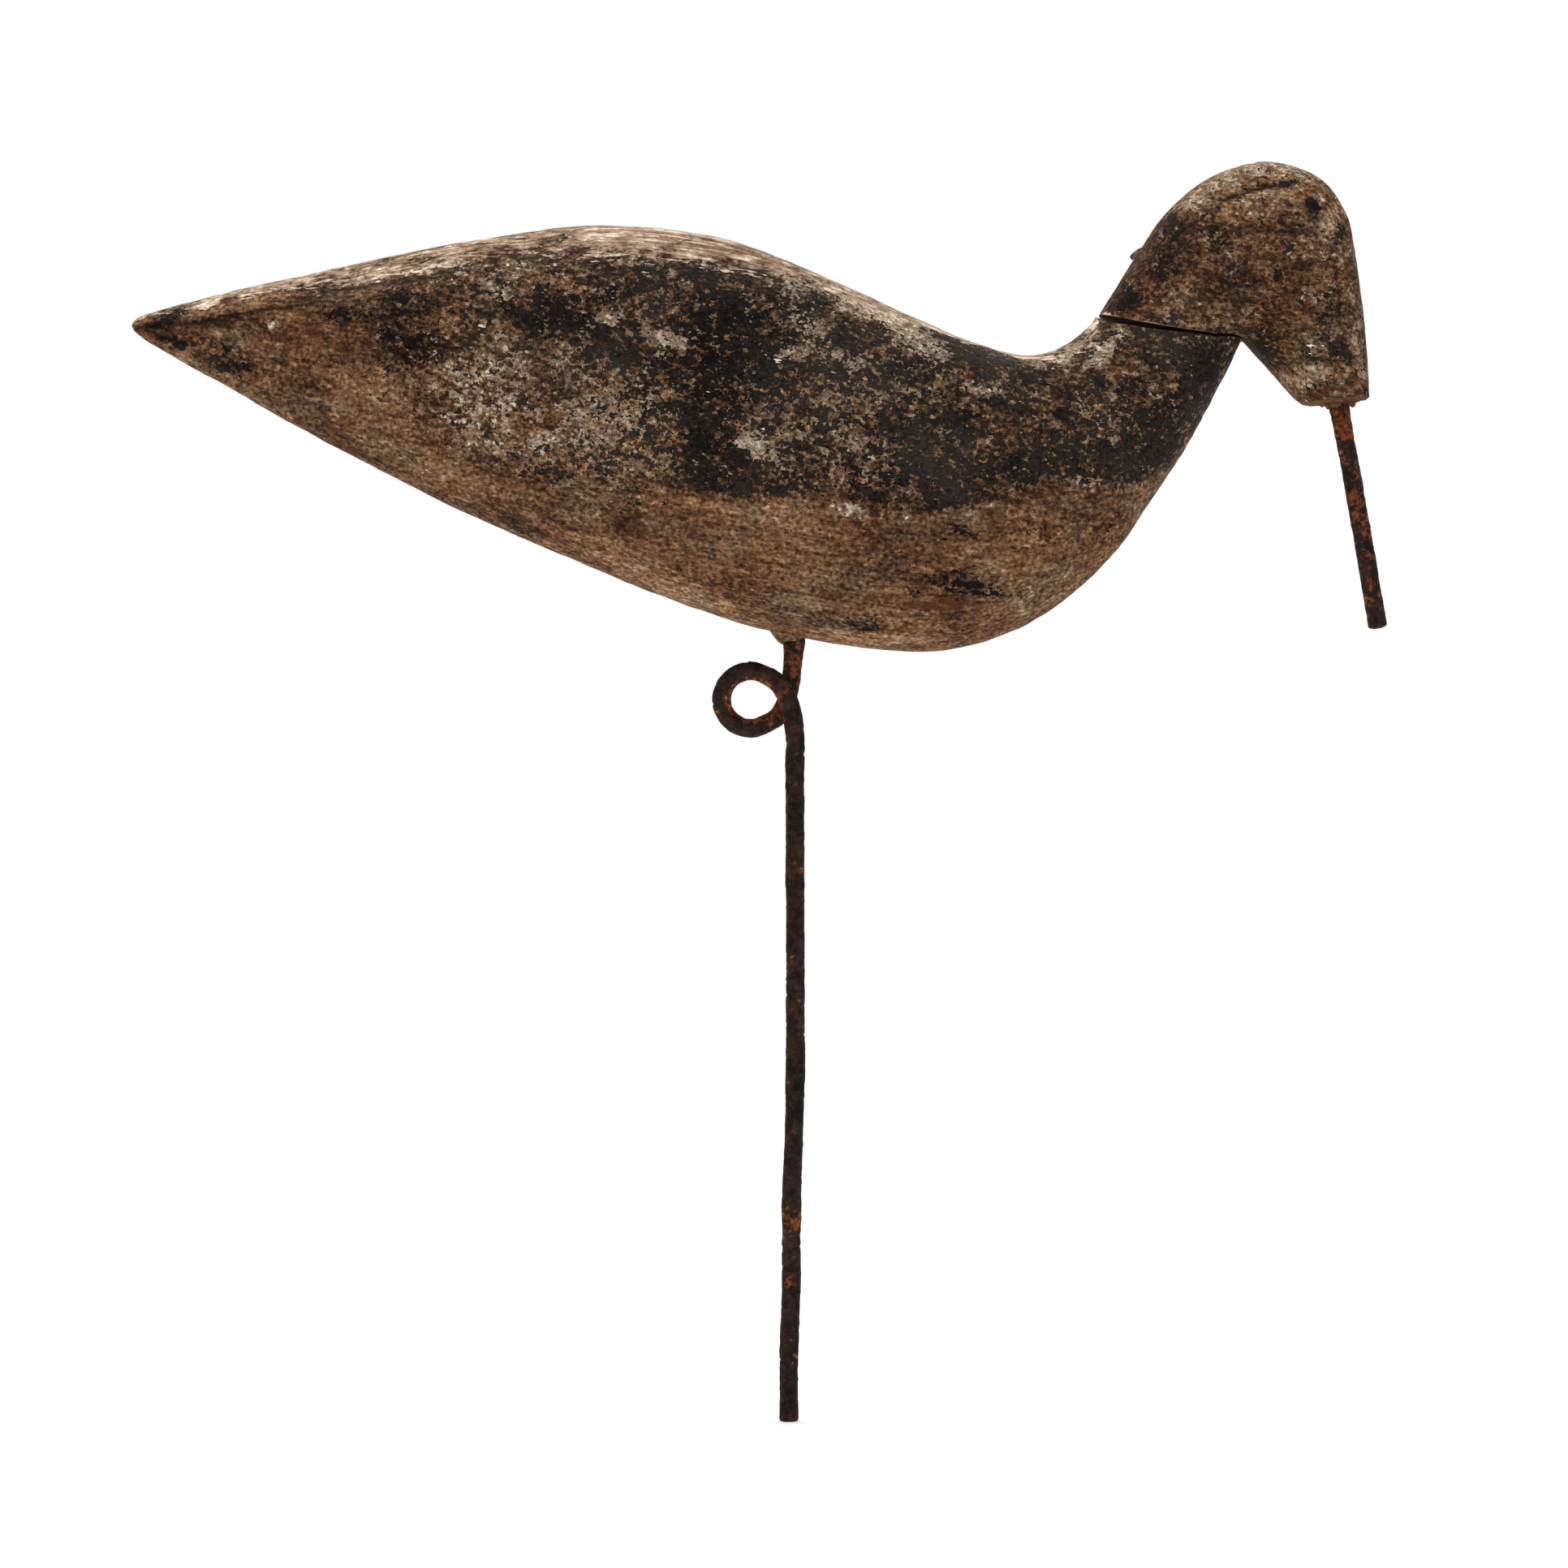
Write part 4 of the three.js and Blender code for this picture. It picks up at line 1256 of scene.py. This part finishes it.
# %% The notch between chin and neck
CROWN_BEHIND = 10 * MM
CHIN_ROUNDING = 0.0085 / MM
CHIN_ENDS = (22 * MM, 29 * MM)

off_joint = in_side_view(math.sin(head_slope), math.cos(head_slope))
down_chin = in_side_view(*THROAT_LINE[1])
down_chin = down_chin / np.linalg.norm(down_chin)
off_chin = in_side_view(-down_chin[2], down_chin[0])


def notched(points):
    """The points with those drawn back that would bulge into the notch between chin and neck.

    They go back to the plane of the sawn joint or to that of the planed chin, which is rounded
    off by CHIN_ROUNDING * y**2 towards its sides. The nearer of the two is taken.
    """
    from_notch = points - head_front
    y = points[..., 1]
    behind = smooth((from_notch @ to_back) / CROWN_BEHIND)
    crowned = JOINT_CROWN * (y / (NECK_WIDTH / 2)) ** 2 * behind
    under_joint = -crowned - from_notch @ off_joint
    on_chin = 1 - fading_in(from_notch @ down_chin, CHIN_ENDS)
    before_chin = (CHIN_ROUNDING * y**2 - from_notch @ off_chin) * on_chin
    in_notch = (under_joint > 0) & (before_chin > 0)
    lift = np.where(in_notch & (under_joint < before_chin), under_joint, 0)
    push = np.where(in_notch & (under_joint >= before_chin), before_chin, 0)
    return points + off_joint * lift[..., None] + off_chin * push[..., None]


# %% The head's skin
HEAD_RELIEF = 0.8

head_relief = HEAD_RELIEF * weathered(head_form) + crown_crack(head_form, seen_at(head_form))
head_side = notched(head_form + normals_of(head_form) * head_relief[..., None])
# As on the body, the relief stops at the solid's own height.
head_side[..., 2] = np.minimum(head_side[..., 2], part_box("head")[1].z)
print("head: relief from", (head_relief.min() / MM).round(1), "to", (head_relief.max() / MM).round(1), "mm")

# %% The head's two sawn faces
FACE_SPLINTERS = (0.54 * MM, (9 * MM, 2.2 * MM, 9 * MM))
COLLAR_RADIUS = 4.875 * MM
COLLAR_BREADTH = 1.95 * MM
COLLAR_HEIGHT = 2.6 * MM
COLLAR_LUMPS = 3.4 * MM
COLLAR_UNEVEN = 1.6
COLLAR_FULL = 0.35


def broken_face(rows):
    """The face cut with its fibres torn and a crust of rust swelling round the bill.

    The crust is a ring, exp(-x*x) where x is the way from its radius in breadths, times eased
    random lumps.
    """
    from_bill = np.linalg.norm(np.cross(rows - bill_seat, bill_down), axis=-1)
    ring = np.exp(-(((from_bill - COLLAR_RADIUS) / COLLAR_BREADTH) ** 2))
    uneven = COLLAR_UNEVEN * rough(rows, COLLAR_LUMPS, turn=21, octaves=3)
    lumps = ring * smooth(uneven + COLLAR_FULL)
    stands = relief(rows, FACE_SPLINTERS, turn=12, octaves=3) + COLLAR_HEIGHT * lumps
    return rows + bill_down * stands[..., None], lumps


face_rows, collar = broken_face(cut_face(head_side[-1], CUT_ROWS))
joint_rows = cut_face(head_side[0], CUT_ROWS)[::-1]
head_rows = np.concatenate([joint_rows, head_side, face_rows])
print(f"head: {len(head_rows)} rows, collar of rust up to {collar.max() * COLLAR_HEIGHT / MM:.1f} mm")

# %% [markdown]
# ## The head's paint
#
# The same worn coats, noted from the photograph again: a dark brown side with grey and black
# left in patches, a crown rubbed pale and painted paler still as a highlight, painted highlights
# along the head's outline, and one black spot where an eye might be.

# %% Patches of the head, in the photograph's pixels
HEAD_TONE = 0.4
HEAD_BLACK_LEFT = 0.2
HEAD_CREAM_LEFT = 0.18
HEAD_BLACK = [
    (1594, 225, 26, 12, 10, 0.7), (1619, 246, 16, 22, 30, 0.95), (1576, 329, 12, 26, 10, 0.45),
    (1450, 282, 36, 60, -30, 0.3), (1500, 285, 44, 28, 0, 0.3), (1430, 328, 34, 30, 0, 0.35),
    (1386, 368, 34, 44, -40, 0.5), (1520, 350, 80, 24, 0, 0.2), (1637, 372, 30, 40, 0, 0.3),
    (1528, 385, 30, 24, 0, 0.3), (1555, 425, 50, 50, -35, 0.35), (1650, 430, 30, 50, 0, 0.25),
    (1610, 476, 30, 14, 0, 0.2), (1680, 482, 12, 20, 0, 0.6), (1660, 290, 14, 30, -10, 0.2),
    (1420, 400, 50, 14, -12, 0.2),
]
HEAD_CREAM = [
    (1530, 214, 90, 22, 10, 0.55), (1605, 214, 60, 16, -24, 0.5), (1490, 238, 70, 22, 38, 0.45),
    (1452, 380, 50, 44, 0, 0.24), (1492, 297, 30, 20, 0, 0.4), (1628, 362, 26, 20, 0, 0.3),
    (1602, 464, 80, 24, 0, 0.24), (1640, 312, 40, 22, 0, 0.15), (1624, 258, 20, 8, -30, 0.6),
    (1676, 461, 24, 7, 40, 1.0), (1385, 352, 24, 10, 60, 0.4), (1540, 240, 70, 10, 16, 0.4),
    (1560, 200, 150, 12, 0, 0.5),
]
HEAD_RUST = [
    (1562, 246, 34, 20, 0, 0.5), (1478, 315, 34, 26, 0, 0.5), (1610, 305, 50, 40, 0, 0.4),
    (1540, 300, 120, 60, 0, 0.3), (1500, 348, 80, 20, 0, 0.6), (1640, 485, 90, 16, 0, 0.8),
    (1425, 396, 90, 12, -12, 0.6), (1400, 320, 16, 24, -40, 0.9),
]
HEAD_GRIME = [
    (1540, 350, 240, 100, 0, 0.04), (1630, 350, 80, 160, 0, 0.05), (1425, 330, 70, 130, -35, 0.1),
    (1520, 350, 90, 30, 0, 0.08), (1560, 425, 60, 60, -35, 0.1), (1650, 430, 30, 60, 0, 0.06),
]
# Paler places: those at the crown and along the outline of the forehead and the face's front edge are
# painted highlights, the rest paler wood.
HEAD_PALER_AND_PAINTED_HIGHLIGHTS = [
    (1560, 206, 150, 26, 0, 0.3), (1480, 238, 90, 30, 40, 0.26), (1655, 262, 24, 80, -25, 0.25),
    (1535, 258, 120, 30, 12, 0.16), (1600, 464, 90, 26, 0, 0.24), (1676, 400, 10, 160, -5, 0.18),
    (1645, 340, 50, 160, -4, 0.12), (1560, 235, 170, 40, 0, 0.16), (1430, 360, 60, 60, 0, 0.1),
    (1610, 445, 90, 40, 0, 0.08),
]
print(len(HEAD_BLACK + HEAD_CREAM), "patches of paint,", len(HEAD_RUST), "stains")

# %% How much of each coat is left on the head
HEAD_SOOTY = 0.5
# The crown is rubbed bare, and the same pale band is a painted highlight of the light from above: how pale,
# how far it reaches from the crown line, and from what share of the way it begins.
CROWN_BARE_AND_HIGHLIT = 0.62
CROWN_BARE_AND_HIGHLIT_TO = 8 * MM
CROWN_BARE_AND_HIGHLIT_FROM = 0.2
# The wood is bare at the sawn edge too. The way over the crown is about 150 mm.
JOINT_EDGE_BARE = 0.9
JOINT_EDGE_REACH = 0.8 * MM
WAY_OVER_CROWN = 150 * MM
CROWN_CRACK_TIMES_WIDER = 2

head_photo = seen_at(head_rows)
seen = wander(head_rows, head_photo)
from_crown = np.linalg.norm(head_form - head_form[:, :1], axis=-1)
# Bare wood along the crown, which is also a painted highlight of the light from above.
crown_rubbed_and_highlit = CROWN_BARE_AND_HIGHLIT * (1 - smooth(from_crown / CROWN_BARE_AND_HIGHLIT_TO))
crown_rubbed_and_highlit = crown_rubbed_and_highlit * smooth(head_shares / CROWN_BARE_AND_HIGHLIT_FROM)[:, None]
joint_edge = JOINT_EDGE_BARE * np.exp(-((head_shares * WAY_OVER_CROWN / JOINT_EDGE_REACH) ** 2))
from_crack = from_cracks(head_photo, [CROWN_CRACK]) / CROWN_CRACK_TIMES_WIDER
not_cut = np.zeros(head_side.shape[:2])
cut = np.ones((CUT_ROWS - 1, HEAD_SIDES))
head_marks = {
    "crack": np.minimum(from_crack, CRACK_REACH),
    "sooty": np.full(head_rows.shape[:2], HEAD_SOOTY),
    "black": laid_over(HEAD_BLACK_LEFT, patches(seen, HEAD_BLACK)),
    # The tone, lifted by painted highlights at the crown and along the head's outline.
    "tone": HEAD_TONE - patches(seen, HEAD_GRIME) + patches(seen, HEAD_PALER_AND_PAINTED_HIGHLIGHTS),
    "cream": laid_over(HEAD_CREAM_LEFT, patches(seen, HEAD_CREAM)),
    "rusty": np.maximum(patches(seen, HEAD_RUST), np.concatenate([0 * cut, not_cut, collar])),
    "rubbed_and_highlit": np.concatenate([0 * cut, np.maximum(crown_rubbed_and_highlit, joint_edge[:, None]), 0 * cut]),
    "sawn": np.concatenate([cut, not_cut, cut]),
}
closed_skin("carved_head", "head", head_rows, head_marks, worn_paint)

# %% [markdown]
# ## Rods of rusted iron
#
# Rusting iron swells, flakes and pits, so a rod's outline is never quite straight. A rod is a
# round section carried along its centre line. Each ring stands square to the line, and is turned
# so that the same side always faces the y axis, which works because no rod here runs along y.
# Its radius then grows and shrinks with crusts, scales and pits.

# %% A rod along a line
END_ROWS = 12


def rod_rows(line, radius, sides):
    """Rings round a line: P + r * (cos(a) * u + sin(a) * v), with u and v square to the line."""
    along = np.gradient(line, axis=0)
    along /= np.linalg.norm(along, axis=1, keepdims=True)
    u = np.cross(along, [0, 1, 0])
    u /= np.linalg.norm(u, axis=1, keepdims=True)
    v = np.cross(along, u)
    angle = np.linspace(0, 2 * np.pi, sides, endpoint=False)
    spoke = np.cos(angle)[:, None] * u[:, None] + np.sin(angle)[:, None] * v[:, None]
    return line[:, None] + spoke * np.asarray(radius)[..., None], spoke


def end_rows(ring, dome):
    """Rows that close a rod's end: shares s of the ring, raised by the dome times 1 - s**4."""
    middle = ring.mean(0)
    shares = np.linspace(1, 0, END_ROWS + 1)[1:-1, None, None]
    return middle + (ring - middle) * shares + dome * (1 - shares**4)


def closed_rod(rows, dome):
    """A rod's rows with both ends closed, and its last one domed."""
    return np.concatenate([end_rows(rows[0], 0)[::-1], rows, end_rows(rows[-1], dome)])


# %% Rust standing out of a rod
RUST_SWELLS = (0.1 * MM, 11 * MM)
RUST_CRUST = (0.09 * MM, 2.4 * MM)
SCALE_HEIGHT = 0.12 * MM
SCALE_SIZE = 5 * MM
SCALE_STEEPNESS = 4
PIT_DEPTH = 0.22 * MM
PIT_SIZE = 1.7 * MM
PIT_STEEPNESS = 3
PIT_LEVEL = 0.45


def rusted(points, turn):
    """How far rust stands out: slow swells + a crust + scales with steep edges - pits."""
    swells = relief(points, RUST_SWELLS, turn, octaves=2)
    crust = relief(points, RUST_CRUST, turn + 3, octaves=3)
    scales = smooth(SCALE_STEEPNESS * rough(points, SCALE_SIZE, turn + 6, octaves=3))
    pits = smooth(PIT_STEEPNESS * (rough(points, PIT_SIZE, turn + 9, octaves=2) - PIT_LEVEL))
    return swells + crust + SCALE_HEIGHT * scales - PIT_DEPTH * pits


# %% Rust, as a material
# Each row is a stop of a scale again: its value, then its red, green and blue.
RUST_SCALE = [(0.0, 22, 15, 12), (0.4, 46, 31, 25), (0.7, 68, 44, 31), (1.0, 106, 62, 38)]
BRIGHT_RUST = [(0.0, 50, 26, 16), (0.4, 90, 46, 25), (0.75, 128, 68, 34), (1.0, 172, 108, 66)]
NAIL_SCALE = [(0.0, 46, 38, 38), (0.4, 98, 82, 80), (1.0, 160, 140, 132)]


def rusted_iron(name, scale_shades):
    """Dark scale, and bright rust where the mark "orange" plus noise is high enough."""
    material, tree = new_material(name)
    here = place_on_piece(tree)
    broad = mottle(tree, here, 16 * MM, 3, 0.6)
    flaky = mottle(tree, here, 4 * MM, 3, 0.62)
    fleck = mottle(tree, here, 1.4 * MM, 2, 0.6)
    orange = mark(tree, "orange")

    tone = total(tree, 0.3, (0.12, broad), (0.12, flaky), (0.12, fleck), (0.1, orange))
    glow = total(tree, 0.4, (0.14, flaky), (0.16, fleck))
    bright = total(tree, -0.62, (1.0, orange), (0.2, flaky), (0.16, fleck), (0.08, broad))
    share = between(tree, bright, -0.1, 0.16)
    painted = coat(tree, share, chart(tree, tone, scale_shades), chart(tree, glow, BRIGHT_RUST))
    height = total(tree, 0.0, (0.3, flaky), (0.3, fleck))
    finish_with(tree, painted, height, strength=0.9, depth=0.25 * MM, shine=0.12)
    return material


rust = rusted_iron("rusted iron", RUST_SCALE)
print("rusted iron:", len(rust.node_tree.nodes), "nodes")

# %% [markdown]
# ## The bill
#
# A straight length of rod, driven into the face and cut off blunt. Bright rust has bled over it
# near the face. It is swollen by rust where it leaves the wood, and a little at its end.

# %% The bill
BILL_DIAMETER = 6.4 * MM
BILL_REACH = 79.5 * MM
BILL_DEPTH = 28 * MM
BILL_CHAMFER = 1.1 * MM
BILL_BOW = 0.12 * MM
BILL_BOW_LENGTH = 17 * MM
BILL_SWELL = 0.1
BILL_SWELL_AT = 3 * MM
BILL_END_SWELL = 0.03
BILL_END_FROM = 0.75
BILL_END_DOME = 0.3 * MM
BILL_ROWS = 560
BILL_SIDES = 56
BILL_ORANGE = [
    (1656, 522, 30, 44, 0, 0.85), (1668, 612, 20, 60, 10, 0.6), (1684, 670, 18, 60, 10, 0.5),
    (1665, 560, 40, 40, 0, 0.25), (1694, 730, 20, 50, 10, 0.3), (1660, 640, 90, 300, 10, 0.3),
]

reach = np.linspace(-BILL_DEPTH, BILL_REACH, BILL_ROWS)
line = bill_seat + bill_down * reach[:, None]
line[:, 0] += BILL_BOW * np.sin(reach / BILL_BOW_LENGTH)
root_swell = BILL_SWELL * np.exp(-(((reach - BILL_SWELL_AT) / BILL_SWELL_AT) ** 2))
end_swell = BILL_END_SWELL * fading_in(reach / BILL_REACH, (BILL_END_FROM, 1))
chamfer = BILL_CHAMFER * (1 - quarter_round((BILL_REACH - reach) / BILL_CHAMFER))
radius = BILL_DIAMETER / 2 * (1 + root_swell + end_swell) - chamfer
bill_rows, spoke = rod_rows(line, radius[:, None], BILL_SIDES)
bill_rows = bill_rows + spoke * rusted(bill_rows, turn=40)[..., None]
bill_rows = closed_rod(bill_rows, BILL_END_DOME * bill_down)
bill_marks = {"orange": patches(seen_at(bill_rows), BILL_ORANGE)}
closed_skin("iron_bill", "bill", bill_rows, bill_marks, rust)

# %% [markdown]
# ## The stake
#
# One rod, bent once round a bar into an eye, whose strands cross just below the belly. Its
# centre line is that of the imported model: up from the foot, round the eye from the near side to
# the far one, and on into the wood.

# %% The stake's driving sizes and its bends
STAKE_DIAMETER = 6.4 * MM
STAKE_DEPTH = 38 * MM
STAKE_LEAN = math.radians(4.5)
STAKE_CHAMFER = 1 * MM
EYE_DIAMETER = 13.3 * MM
EYE_DROP = 21.6 * MM
EYE_BEHIND_STEM = 1.56
SIDE_BELOW_BELLY = 0.33
# How far forward the lower part bows: shares of STAKE_HEIGHT, and shares of STEM_SET there.
STEM_BOW = [(0, 0), (0.08, 0), (0.17, 0.36), (0.29, 0.5), (0.4, 1), (0.54, 1.12)]
# Each bend is degrees up from the front, distance in eye radii, and side: -1 near and 1 far.
LOWER_STRAND = [(-59, 3.04, -0.5), (-37, 1.96, -1), (-6, 1.38, -1.04), (30, 1.13, -1.04)]
UPPER_STRAND = [(330, 1.12, 1.04), (366, 1.33, 1.04)]
EYE_BENDS = 10
EYE_FROM = 65
EYE_TO = 295
EYE_TWIST = 0.8

# %% The stake's line
STAKE_ROWS = 1560
STAKE_SIDES = 60
STAKE_STEPS = 120

eye_radius = (EYE_DIAMETER + STAKE_DIAMETER) / 2
eye = in_side_view(STEM_SET - eye_radius * EYE_BEHIND_STEM, STAKE_HEIGHT - EYE_DROP)
apart = (STAKE_DIAMETER + FIT_GAP) / 2
stake_up = in_side_view(math.sin(STAKE_LEAN), math.cos(STAKE_LEAN))


def around_eye(degrees, distance, side):
    """A bend of the rod: the eye's middle + radius * distance * (cos, sin), moved to its side."""
    angle = math.radians(degrees)
    spoke = in_side_view(math.cos(angle), math.sin(angle))
    return eye + eye_radius * distance * spoke + [0, apart * side, 0]


turn = np.linspace(0, 1, EYE_BENDS + 1)
bends = [(EYE_FROM + (EYE_TO - EYE_FROM) * t, 1, EYE_TWIST * (2 * t - 1)) for t in turn]
below_belly = belly_seat - eye_radius * stake_up + [0, apart * SIDE_BELOW_BELLY, 0]
knots = [
    *(in_side_view(x * STEM_SET, z * STAKE_HEIGHT) for z, x in STEM_BOW),
    *(around_eye(*bend) for bend in (*LOWER_STRAND, *bends, *UPPER_STRAND)),
    below_belly,
    *(belly_seat + stake_up * up for up in (0, STAKE_DEPTH / 2, STAKE_DEPTH)),
]
stake_line = fair_curve(knots, np.linspace(0, 1, STAKE_ROWS), STAKE_STEPS)
stake_length = np.linalg.norm(np.diff(stake_line, axis=0), axis=1).sum()
print(f"stake: {stake_length / MM:.0f} mm of rod, eye at {(eye / MM).round(1)} mm")

# %% Where the stake is thinner, thicker or orange
STAKE_ORANGE = [
    (975, 1505, 26, 34, 0, 0.8), (970, 1582, 16, 20, 0, 0.6), (978, 800, 34, 40, 0, 0.6),
    (984, 830, 20, 50, 10, 0.8), (950, 878, 30, 24, 45, 0.8), (958, 870, 10, 50, 20, 0.9),
    (980, 925, 12, 26, 0, 0.5), (975, 1660, 20, 60, 0, 0.3), (978, 1100, 20, 200, 0, 0.12),
]
# Height in mm, and how much thicker the rod is there, as a share.
STAKE_NECKS = [
    (-1, 0), (60, 0), (62, 0.03), (64, -0.05), (67, -0.02), (70, 0.06), (90, 0.02), (120, 0),
]
STEM_SWELL = 0.16
STEM_SWELL_REACH = 3.5 * MM
# The inside of the eye is orange: how far from the eye's middle, in radii, and how strongly.
EYE_ZONE = 1.35
EYE_ZONE_EDGE = 0.3
INSIDE_STEEPNESS = 1.6
INSIDE_LEVEL = 0.35
INSIDE_ORANGE = 0.75

# %% The stake
first_half = np.arange(STAKE_ROWS) < STAKE_ROWS / 2
height = stake_line[:, 2]
necks = np.interp(height, *(np.array(STAKE_NECKS, float) * [MM, 1]).T)
stem_swell = STEM_SWELL * np.exp(-(((height - LIP_LEVEL) / STEM_SWELL_REACH) ** 2))
thicker = np.where(first_half, necks, stem_swell)
chamfer = STAKE_CHAMFER * (1 - quarter_round(height / STAKE_CHAMFER))
radius = STAKE_DIAMETER / 2 * (1 + thicker) - chamfer
stake_rows, spoke = rod_rows(stake_line, radius[:, None], STAKE_SIDES)
stake_rows = stake_rows + spoke * rusted(stake_rows, turn=80)[..., None]
stake_rows[..., 2] = np.maximum(stake_rows[..., 2], 0)

to_eye = eye - stake_line
from_eye = np.linalg.norm(to_eye, axis=1)
in_eye = smooth((EYE_ZONE * eye_radius - from_eye) / (EYE_ZONE_EDGE * eye_radius))[:, None]
faces_eye = np.einsum("rsk,rk->rs", spoke, to_eye) / eye_radius
inside = INSIDE_ORANGE * smooth(faces_eye * INSIDE_STEEPNESS - INSIDE_LEVEL) * in_eye
inside = np.pad(inside, ((END_ROWS - 1, END_ROWS - 1), (0, 0)))
stake_rows = closed_rod(stake_rows, 0)
stake_marks = {"orange": np.maximum(patches(seen_at(stake_rows), STAKE_ORANGE), inside)}
closed_skin("iron_stake", "stake", stake_rows, stake_marks, rust)

# %% [markdown]
# ## The nail
#
# A cut nail, toed down through the back of the head into the neck. Only its hammered head shows,
# standing a little proud of the wood, so its shank is plain. Its profile, from the dome to the
# point, is turned round its axis, and the head is roughened as if by hammer and rust.

# %% The nail's driving sizes and profile
NAIL_DIAMETER = 2.2 * MM
NAIL_LENGTH = 44 * MM
NAIL_HEAD_DIAMETER = 5.2 * MM
NAIL_HEAD_THICKNESS = 1.4 * MM
NAIL_HEAD_DOME = 0.45 * MM
NAIL_POINT = 4.4 * MM
NAIL_PROUD = 0.9 * MM
NAIL_SLOPE = math.radians(52)
NAIL_ALONG_CROWN = 0.137
NAIL_SIDES = 48
NAIL_STEPS = 14
NAIL_BLUNT = 0.02 * MM
# How wide and how high the dome's shoulder is, as shares of the head and of the dome.
DOME_SHOULDER = (0.7, 0.6)
NAIL_PROFILE = [
    (NAIL_BLUNT, -NAIL_HEAD_DOME),
    (DOME_SHOULDER[0] * NAIL_HEAD_DIAMETER / 2, -DOME_SHOULDER[1] * NAIL_HEAD_DOME),
    (NAIL_HEAD_DIAMETER / 2, 0), (NAIL_HEAD_DIAMETER / 2, NAIL_HEAD_THICKNESS),
    (NAIL_DIAMETER / 2, NAIL_HEAD_THICKNESS), (NAIL_DIAMETER / 2, NAIL_LENGTH - NAIL_POINT),
    (NAIL_BLUNT, NAIL_LENGTH),
]
HAMMERED = (0.25 * MM, 2.6 * MM)
HAMMERED_SIDEWAYS = 0.6
NAIL_ORANGE = 0.1

# %% The nail
nail_down = in_side_view(math.cos(NAIL_SLOPE), -math.sin(NAIL_SLOPE))
nail_top = crown[round(NAIL_ALONG_CROWN * (HEAD_ROWS - 1))] - NAIL_PROUD * nail_down
profile = np.array(NAIL_PROFILE)
corners = np.arange(len(profile))
steps = np.concatenate([np.linspace(k, k + 1, NAIL_STEPS, endpoint=False) for k in corners[:-1]])
radius, down = (np.interp(steps, corners, column) for column in profile.T)
across = np.cross(nail_down, [0, 1, 0])
angle = np.linspace(0, 2 * np.pi, NAIL_SIDES, endpoint=False)
spoke = np.cos(angle)[:, None] * across + np.sin(angle)[:, None] * np.cross(nail_down, across)
nail_rows = nail_top + nail_down * down[:, None, None] + spoke * radius[:, None, None]
on_head = smooth(2 - down / NAIL_HEAD_THICKNESS)[:, None]
bent = relief(nail_rows, HAMMERED, turn=33, octaves=3) * on_head
nail_rows = nail_rows + (nail_down + HAMMERED_SIDEWAYS * spoke) * bent[..., None]
nail_marks = {"orange": np.full(nail_rows.shape[:2], NAIL_ORANGE)}
weathered_nail = rusted_iron("weathered nail", NAIL_SCALE)
closed_skin("hand_cut_nail", "neck_nail", nail_rows, nail_marks, weathered_nail)

# %% [markdown]
# ## The size of it all
#
# The dressed bird should fill the box of the imported model and no more.
